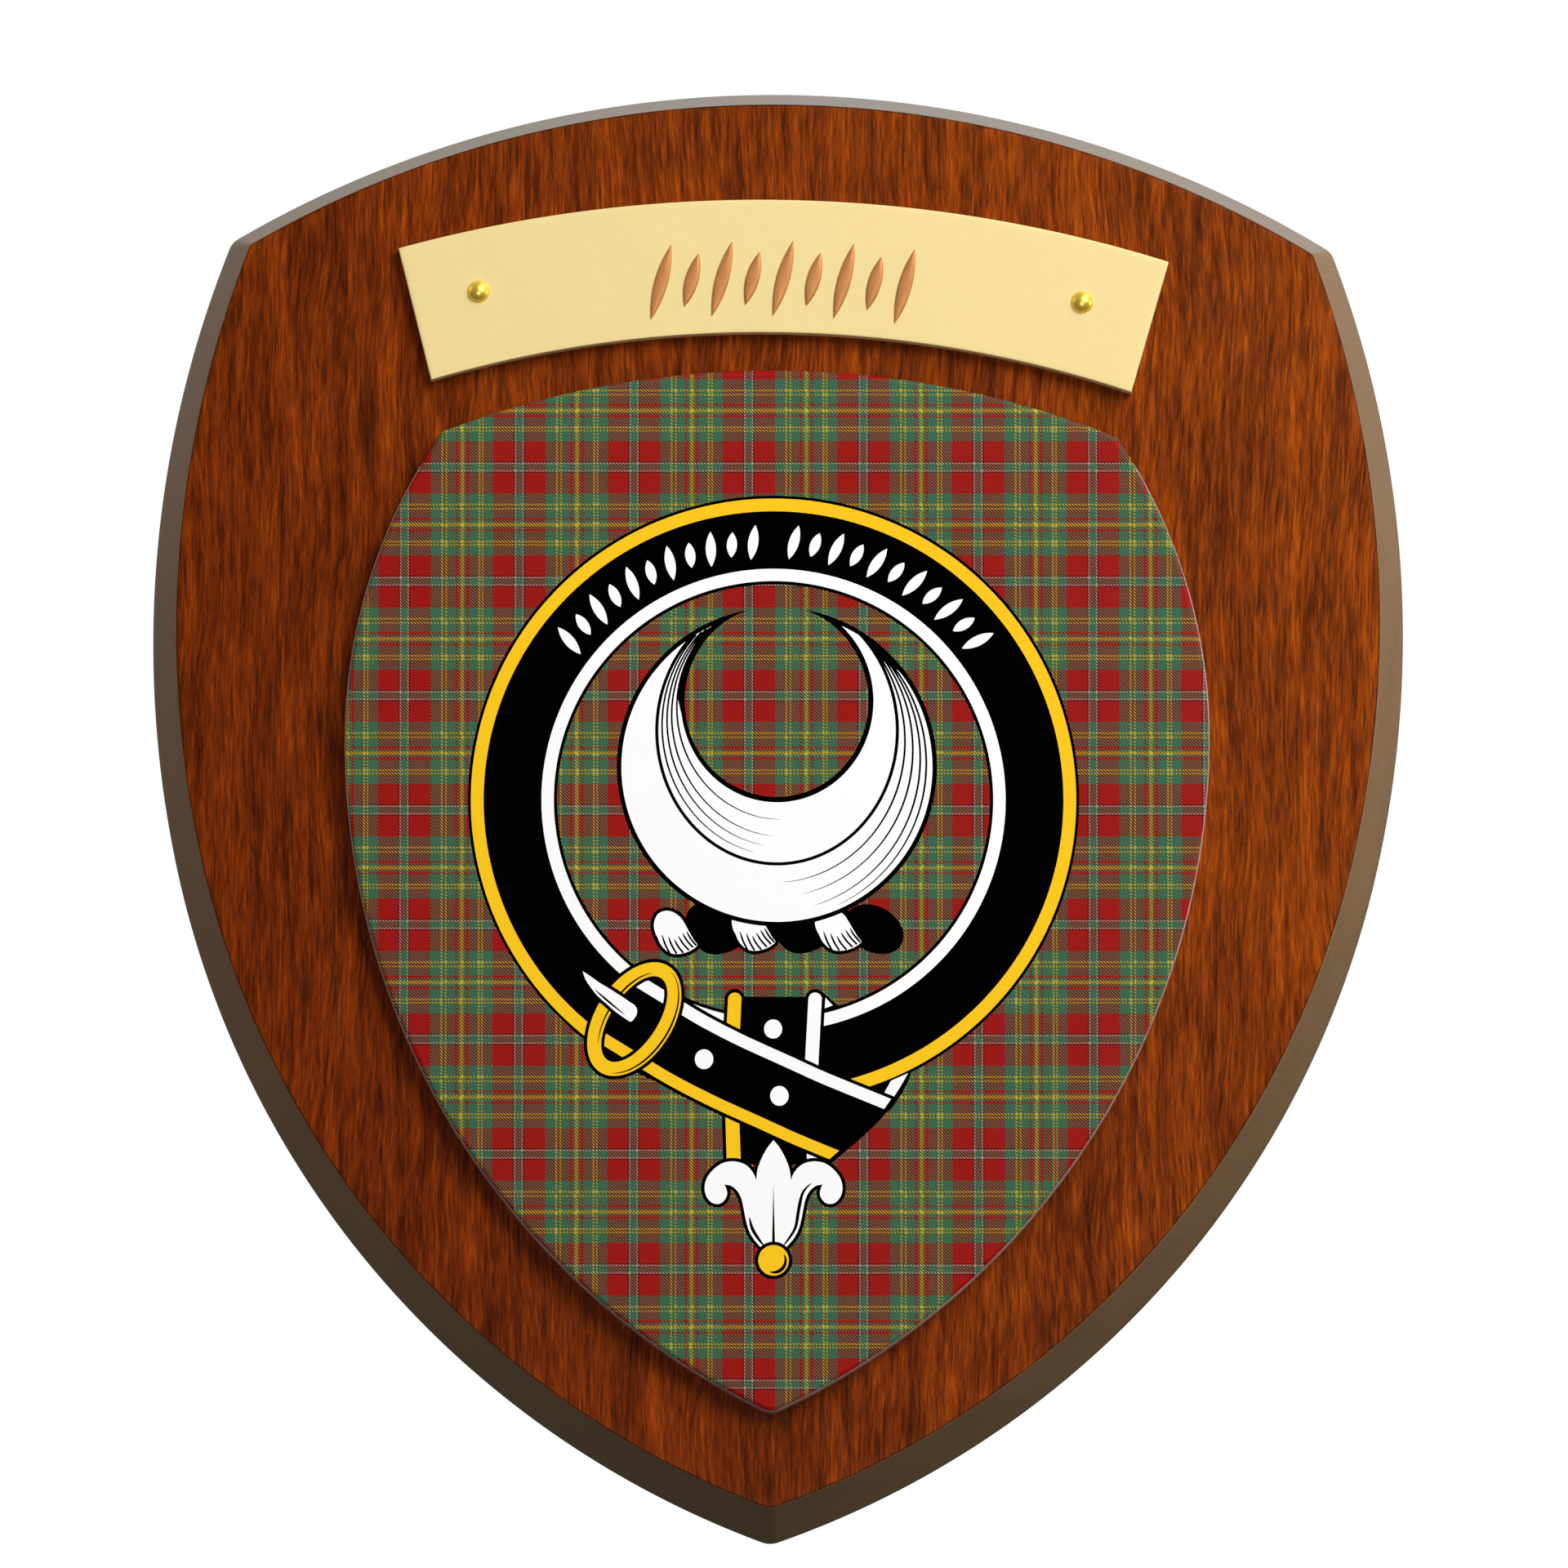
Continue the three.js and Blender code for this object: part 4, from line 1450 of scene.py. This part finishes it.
@dataclass
class NamePlate:
    """The arched brass strip, the raised pen strokes on it, and the two pins that hold it."""

    top: float = 73.5
    right: float = 0.3
    turn: float = math.radians(0.5)
    back: float = -15.0
    front: float = -17.0
    arris: float = 0.15
    margin: float = 0.6
    back_arris: float = 0.1
    height: float = 16.3
    top_chord: float = 93.6
    bottom_chord: float = 85.0
    top_radius: float = 165.0
    bottom_radius: float = 141.0
    stroke_count: int = 9
    stroke_pitch: float = 3.7
    stroke_lengths: tuple[float, float] = (9.6, 6.8)
    stroke_width: float = 1.7
    stroke_relief: float = 0.3
    stroke_lean: float = math.radians(14)
    stroke_drop: float = 1.5
    stroke_round: float = 0.34
    stroke_ends: float = 3.2
    pin_radius: float = 1.375
    pin_dome: float = 0.95
    pin_shank: float = 0.6
    pin_length: float = 10.0
    pin_point: float = 1.5
    pin_from_end: float = 8.0
    pin_above_middle: float = 0.7

    def placed(self, points: Array) -> Array:
        """Takes (x, y, z) of the plate's own frame to the row frame: a small turn, then a move up and
        a little to the right.

        Args:
            points: (x, y, z) in the last axis, with y already the row frame's.

        Returns:
            The same points in the row frame.
        """
        flat = turned(points[..., [0, 2]], -self.turn) + [self.right, self.top]
        return np.stack([flat[..., 0], points[..., 1], flat[..., 1]], axis=-1)

    @staticmethod
    def drop(radius: float, x: Array | float) -> Array | float:
        """How far an arc of that radius lies under its crown at x."""
        return radius - np.sqrt(radius**2 - np.square(x))

    def middle(self, x: float) -> float:
        """The level half way between the plate's two arcs."""
        return float(-(self.height + self.drop(self.top_radius, x) + self.drop(self.bottom_radius, x)) / 2)

    def outline(self, inset: float) -> Array:
        """The strip's outline: two arcs that bulge upwards and two straight leaning ends.

        Args:
            inset: how far inside the cut edge it runs.

        Returns:
            A closed loop of (x, z) points.
        """
        top_half, low_half = self.top_chord / 2, self.bottom_chord / 2
        fall = self.drop(self.bottom_radius, low_half) - self.drop(self.top_radius, top_half)
        shorten = inset / math.cos(math.atan2(top_half - low_half, self.height + fall))
        up = RIGHT_ANGLE
        high = math.asin((top_half - shorten) / self.top_radius)
        low = math.asin((low_half - shorten) / self.bottom_radius)
        low_centre, low_r = (0, -self.height - self.bottom_radius), self.bottom_radius + inset
        top_centre, top_r = (0, -self.top_radius), self.top_radius - inset
        low = arc(low_centre, low_r, up + low, up - low, 120, whole=True)
        high = arc(top_centre, top_r, up - high, up + high, 120, whole=True)
        share = np.linspace(0, 1, 14)[1:-1, None]
        right, left = low[-1] + share * (high[0] - low[-1]), high[-1] + share * (low[0] - high[-1])
        return np.vstack([low, right, high, left])

    def build_sheet(self, finish: Material) -> None:
        """The strip itself: its outline carried round the cut edge, and a flat face front and back.

        Args:
            finish: its material.
        """
        edge = rounded(self.outline, self.arris, self.front, 6)
        hidden = ((self.back_arris, 0), (0, self.back_arris))
        backs = [in_depth(self.outline(inset), self.back - depth) for inset, depth in hidden]
        rings = np.stack([*backs, *edge, in_depth(self.outline(self.margin), self.front)])
        skin = Skin()
        skin.add_rings(self.placed(rings))
        for ring in (rings[0], rings[-1]):
            corners, triangles = cut_plane([ring[:, [0, 2]]])
            skin.add_triangles(self.placed(in_depth(corners, ring[0, 1])), triangles)
        dress(skin.make("name_plate_sheet"), [finish], "name_plate")

    def build_strokes(self, finish: Material) -> None:
        """The pen strokes, all in one mesh: a lens drawn in ring by ring while it rises, steep at
        first and flat at the top, as a quarter of an ellipse does.

        Args:
            finish: their material.
        """
        skin = Skin()
        root = self.front + self.stroke_relief
        for number in range(self.stroke_count):
            x = (number - (self.stroke_count - 1) / 2) * self.stroke_pitch
            centre, long = (x, self.middle(x) - self.stroke_drop), self.stroke_lengths[number % 2]
            rings = [in_depth(lens(centre, long, self.stroke_width, self.stroke_lean, 24), root)]
            for a in np.linspace(0, RIGHT_ANGLE, 7):
                drawn = self.stroke_round * (1 - math.cos(a))
                size = (long - self.stroke_ends * drawn, self.stroke_width - 2 * drawn)
                loop = lens(centre, *size, self.stroke_lean, 24)
                rings.append(in_depth(loop, self.front - self.stroke_relief * math.sin(a)))
            poles = np.array([(x, y, centre[1]) for y in (root, self.front - self.stroke_relief)])
            skin.add_rings(self.placed(np.stack(rings)), 0, self.placed(poles))
        dress(skin.make("name_strokes", crease=40), [finish])

    def build_pin(self, name: str, side: int, finish: Material) -> None:
        """A pin: a profile of a dome, its flat underside and a pointed shank, turned about its axis.

        Args:
            name: the CAD node that it stands for.
            side: -1 for the left pin and 1 for the right one.
            finish: its material.
        """
        x = (self.top_chord + self.bottom_chord) / 4 - self.pin_from_end
        at = np.array([side * x - self.right, self.front, self.middle(x) + self.pin_above_middle])
        radius = (self.pin_radius**2 + self.pin_dome**2) / (2 * self.pin_dome)
        a = math.asin(self.pin_radius / radius) * np.linspace(0.06, 1, 16)
        dome = np.stack([radius * np.sin(a), radius - self.pin_dome - radius * np.cos(a)], axis=1)
        rest = [
            [self.pin_radius - 0.03, 0.0], [self.pin_shank + 0.1, 0.0], [self.pin_shank, 0.1],
            [self.pin_shank, self.pin_length - self.pin_point], [0.06, self.pin_length - 0.1],
        ]
        out, along = np.vstack([dome, rest]).T[:, :, None]
        around = np.linspace(0, FULL_TURN, 64, endpoint=False)
        rings = np.stack([out * np.cos(around), along + 0 * around, out * np.sin(around)], axis=-1) + at
        poles = at + [[0, -self.pin_dome, 0], [0, self.pin_length, 0]]
        skin = Skin()
        skin.add_rings(self.placed(rings), 0, self.placed(poles))
        dress(skin.make(f"brass_{name}", crease=40), [finish], name)


# ---------------------------------------------------------------- camera, lights and floor


@dataclass(frozen=True)
class Studio:
    """Where the photograph was taken from, and the light round the plaque. A softbox has a name, a
    place and a side in metres, a power in watts and a colour. A sky has a grey or a colour for each
    level, from straight down to straight up."""

    target: tuple[float, float, float] = (0.88, 0.0, 4.06)
    distance: float = 2800.0
    elevation: float = math.radians(-6.9)
    roll: float = math.radians(0.516)
    lens: float = 527.5
    floor_level: float = -1500.0
    floor_half: float = 4000.0
    key_from: tuple[float, float, float] = (0.6, -1.0, 0.7)
    key_distance: float = 1.1
    softboxes: tuple = (
        ("front_light", (0.0, -1.6, -0.4), 0.5, 5.0, (1.0, 1.0, 1.0)),
        ("right_light", (1.7, 0.1, 0.1), 0.8, 9.5, (1.0, 0.98, 1.0)),
        ("left_light", (-1.6, 0.1, 0.7), 0.8, 4.2, (1.0, 0.78, 0.52)),
        ("top_light", (0.9, 0.1, 1.4), 1.0, 6.5, (1.0, 1.0, 1.0)),
    )
    behind: tuple = (
        (0.0, (0.085, 0.1, 0.1, 1)), (0.45, (0.105, 0.125, 0.122, 1)), (0.5, (0.15, 0.16, 0.16, 1)),
        (0.57, (0.24, 0.24, 0.24, 1)), (0.65, (0.7, 0.7, 0.7, 1)), (1.0, (0.6, 0.6, 0.6, 1)),
    )
    before: tuple = ((0.0, (0.09, 0.09, 0.09, 1)), (0.5, (0.17, 0.17, 0.17, 1)), (1.0, (0.32, 0.32, 0.34, 1)))

    def camera(self) -> None:
        """Makes the camera: it looks from below the middle, and is rolled a little."""
        ce, se = math.cos(self.elevation), math.sin(self.elevation)
        forward, right, up = Vector((0, ce, -se)), Vector((1, 0, 0)), Vector((0, se, ce))
        cr, sr = math.cos(self.roll), math.sin(self.roll)
        place = (Vector(self.target) - self.distance * forward) * METRE
        data = bpy.data.cameras.new("camera")
        data.lens, data.sensor_width = self.lens, 36.0
        data.clip_start, data.clip_end = 0.1, 100.0
        camera = bpy.data.objects.new("camera", data)
        columns = (cr * right + sr * up, cr * up - sr * right, -forward, place)
        camera.matrix_world = Matrix([[*(c[i] for c in columns)] for i in range(3)] + [[0, 0, 0, 1]])
        bpy.context.scene.collection.objects.link(camera)
        bpy.context.scene.camera = camera

    def lights(self) -> None:
        """Square area lights that look at the plaque: the key light from the upper right, a soft one
        in front, and three about level with the back, which only the bevel catches."""
        key = Vector(self.key_from).normalized() * self.key_distance
        boxes = (("key_light", key, 0.7, 12.7, (1.0, 0.985, 0.96)), *self.softboxes)
        for name, place, size, watts, colour in boxes:
            data = bpy.data.lights.new(name, "AREA")
            data.shape, data.size, data.energy, data.color = "SQUARE", size, watts, colour
            light = bpy.data.objects.new(name, data)
            light.location = Vector(place)
            light.rotation_mode = "QUATERNION"
            light.rotation_quaternion = (-Vector(place)).to_track_quat("-Z", "Y")
            light.visible_camera = False
            bpy.context.scene.collection.objects.link(light)

    def surroundings(self) -> None:
        """A white backdrop for the camera. For the light it is pale above and behind, darker below,
        and darkest in front, where the camera stands in a dim room."""
        world = bpy.data.worlds.new("studio")
        bpy.context.scene.world = world
        world.use_nodes = True
        world.node_tree.nodes.clear()
        sheet = Sheet(world.node_tree)
        parts = sheet.put("SeparateXYZ", {0: sheet.put("TexCoord").outputs["Generated"]}).outputs
        level = sheet.between(parts["Z"], -1.0, 1.0)
        behind, before = sheet.ramp(level, self.behind), sheet.ramp(level, self.before)
        before = sheet.tinted(before, sheet.between(parts["Y"], -1.0, -0.6, 0.25, 1.0))
        sky = sheet.blend(sheet.between(parts["Y"], -0.2, 0.2), before, behind)
        soft, white = (sheet.put("Background", {"Color": c, "Strength": 1.0}) for c in (sky, (1, 1, 1, 1)))
        seen = sheet.put("LightPath").outputs["Is Camera Ray"]
        mixed = sheet.put("MixShader", {0: seen, 1: soft.outputs[0], 2: white.outputs[0]})
        sheet.put("OutputWorld", {0: mixed.outputs[0]})
        bpy.context.scene.view_settings.view_transform = "Standard"

    def floor(self) -> None:
        """A pale floor, well below where the plaque hangs."""
        corners = self.floor_half * np.array([[-1, -1], [1, -1], [1, 1], [-1, 1]])
        flat = np.column_stack([corners, np.full(4, self.floor_level)])
        skin = Skin()
        skin.add_triangles(flat, np.array([[0, 1, 2], [0, 2, 3]]))
        piece = skin.make("floor", closed=False)
        material = bpy.data.materials.new("pale_floor")
        material.use_nodes = True
        shader = material.node_tree.nodes["Principled BSDF"]
        shader.inputs["Base Color"].default_value = (0.8, 0.8, 0.8, 1)
        shader.inputs["Roughness"].default_value = 0.9
        piece.data.materials.append(material)
        piece.visible_diffuse = piece.visible_glossy = False


# ---------------------------------------------------------------- all together


def main() -> None:
    """Builds the scene: camera and light, then the board, the panel, the plate and the pins."""
    studio = Studio()
    studio.camera()
    studio.lights()
    studio.surroundings()
    studio.floor()
    panel, plate = TartanPanel(), NamePlate()
    veneer = StainedVeneer("stained_veneer", roughness=0.3, specular=0.04)
    edge = EdgePaint("edge_paint", roughness=0.5, specular=0.25)
    bare = EdgePaint("back_paint", roughness=0.7, specular=0.3, painted_sheen=None)
    tartan = TartanPrint("tartan_print", roughness=0.5, specular=0.08)
    inks = (
        PrintInk("black_ink", roughness=0.6, specular=0.0, colour=linear(2, 2, 2)),
        PrintInk("white_ink", roughness=0.5, specular=0.15, colour=linear(252, 252, 252)),
        PrintInk("gold_ink", roughness=0.5, specular=0.1, colour=linear(248, 197, 20)),
    )
    pale = EdgePaint("panel_edge", 0.5, 0.0, 0.3, linear(200, 168, 162), linear(150, 118, 110), painted_sheen=None)
    brass = SatinBrass("plate_brass", roughness=0.55, metallic=0.3)
    copper = SatinBrass("stroke_copper", 0.35, 0.5, colour=linear(208, 142, 82), second=linear(192, 128, 70))
    polished = SatinBrass("pin_brass", 0.36, 0.8, colour=linear(255, 222, 98), second=linear(250, 212, 84))
    effects = Effects()
    Board().build([finish.build(effects) for finish in (veneer, edge, bare)])
    panel.build([tartan.build(effects, panel.lay), *(finish.build(effects) for finish in (*inks, pale))])
    plate.build_sheet(brass.build(effects))
    plate.build_strokes(copper.build(effects))
    shiny = polished.build(effects)
    for name, side in (("pin_left", -1), ("pin_right", 1)):
        plate.build_pin(name, side, shiny)


if __name__ == "__main__":
    main()
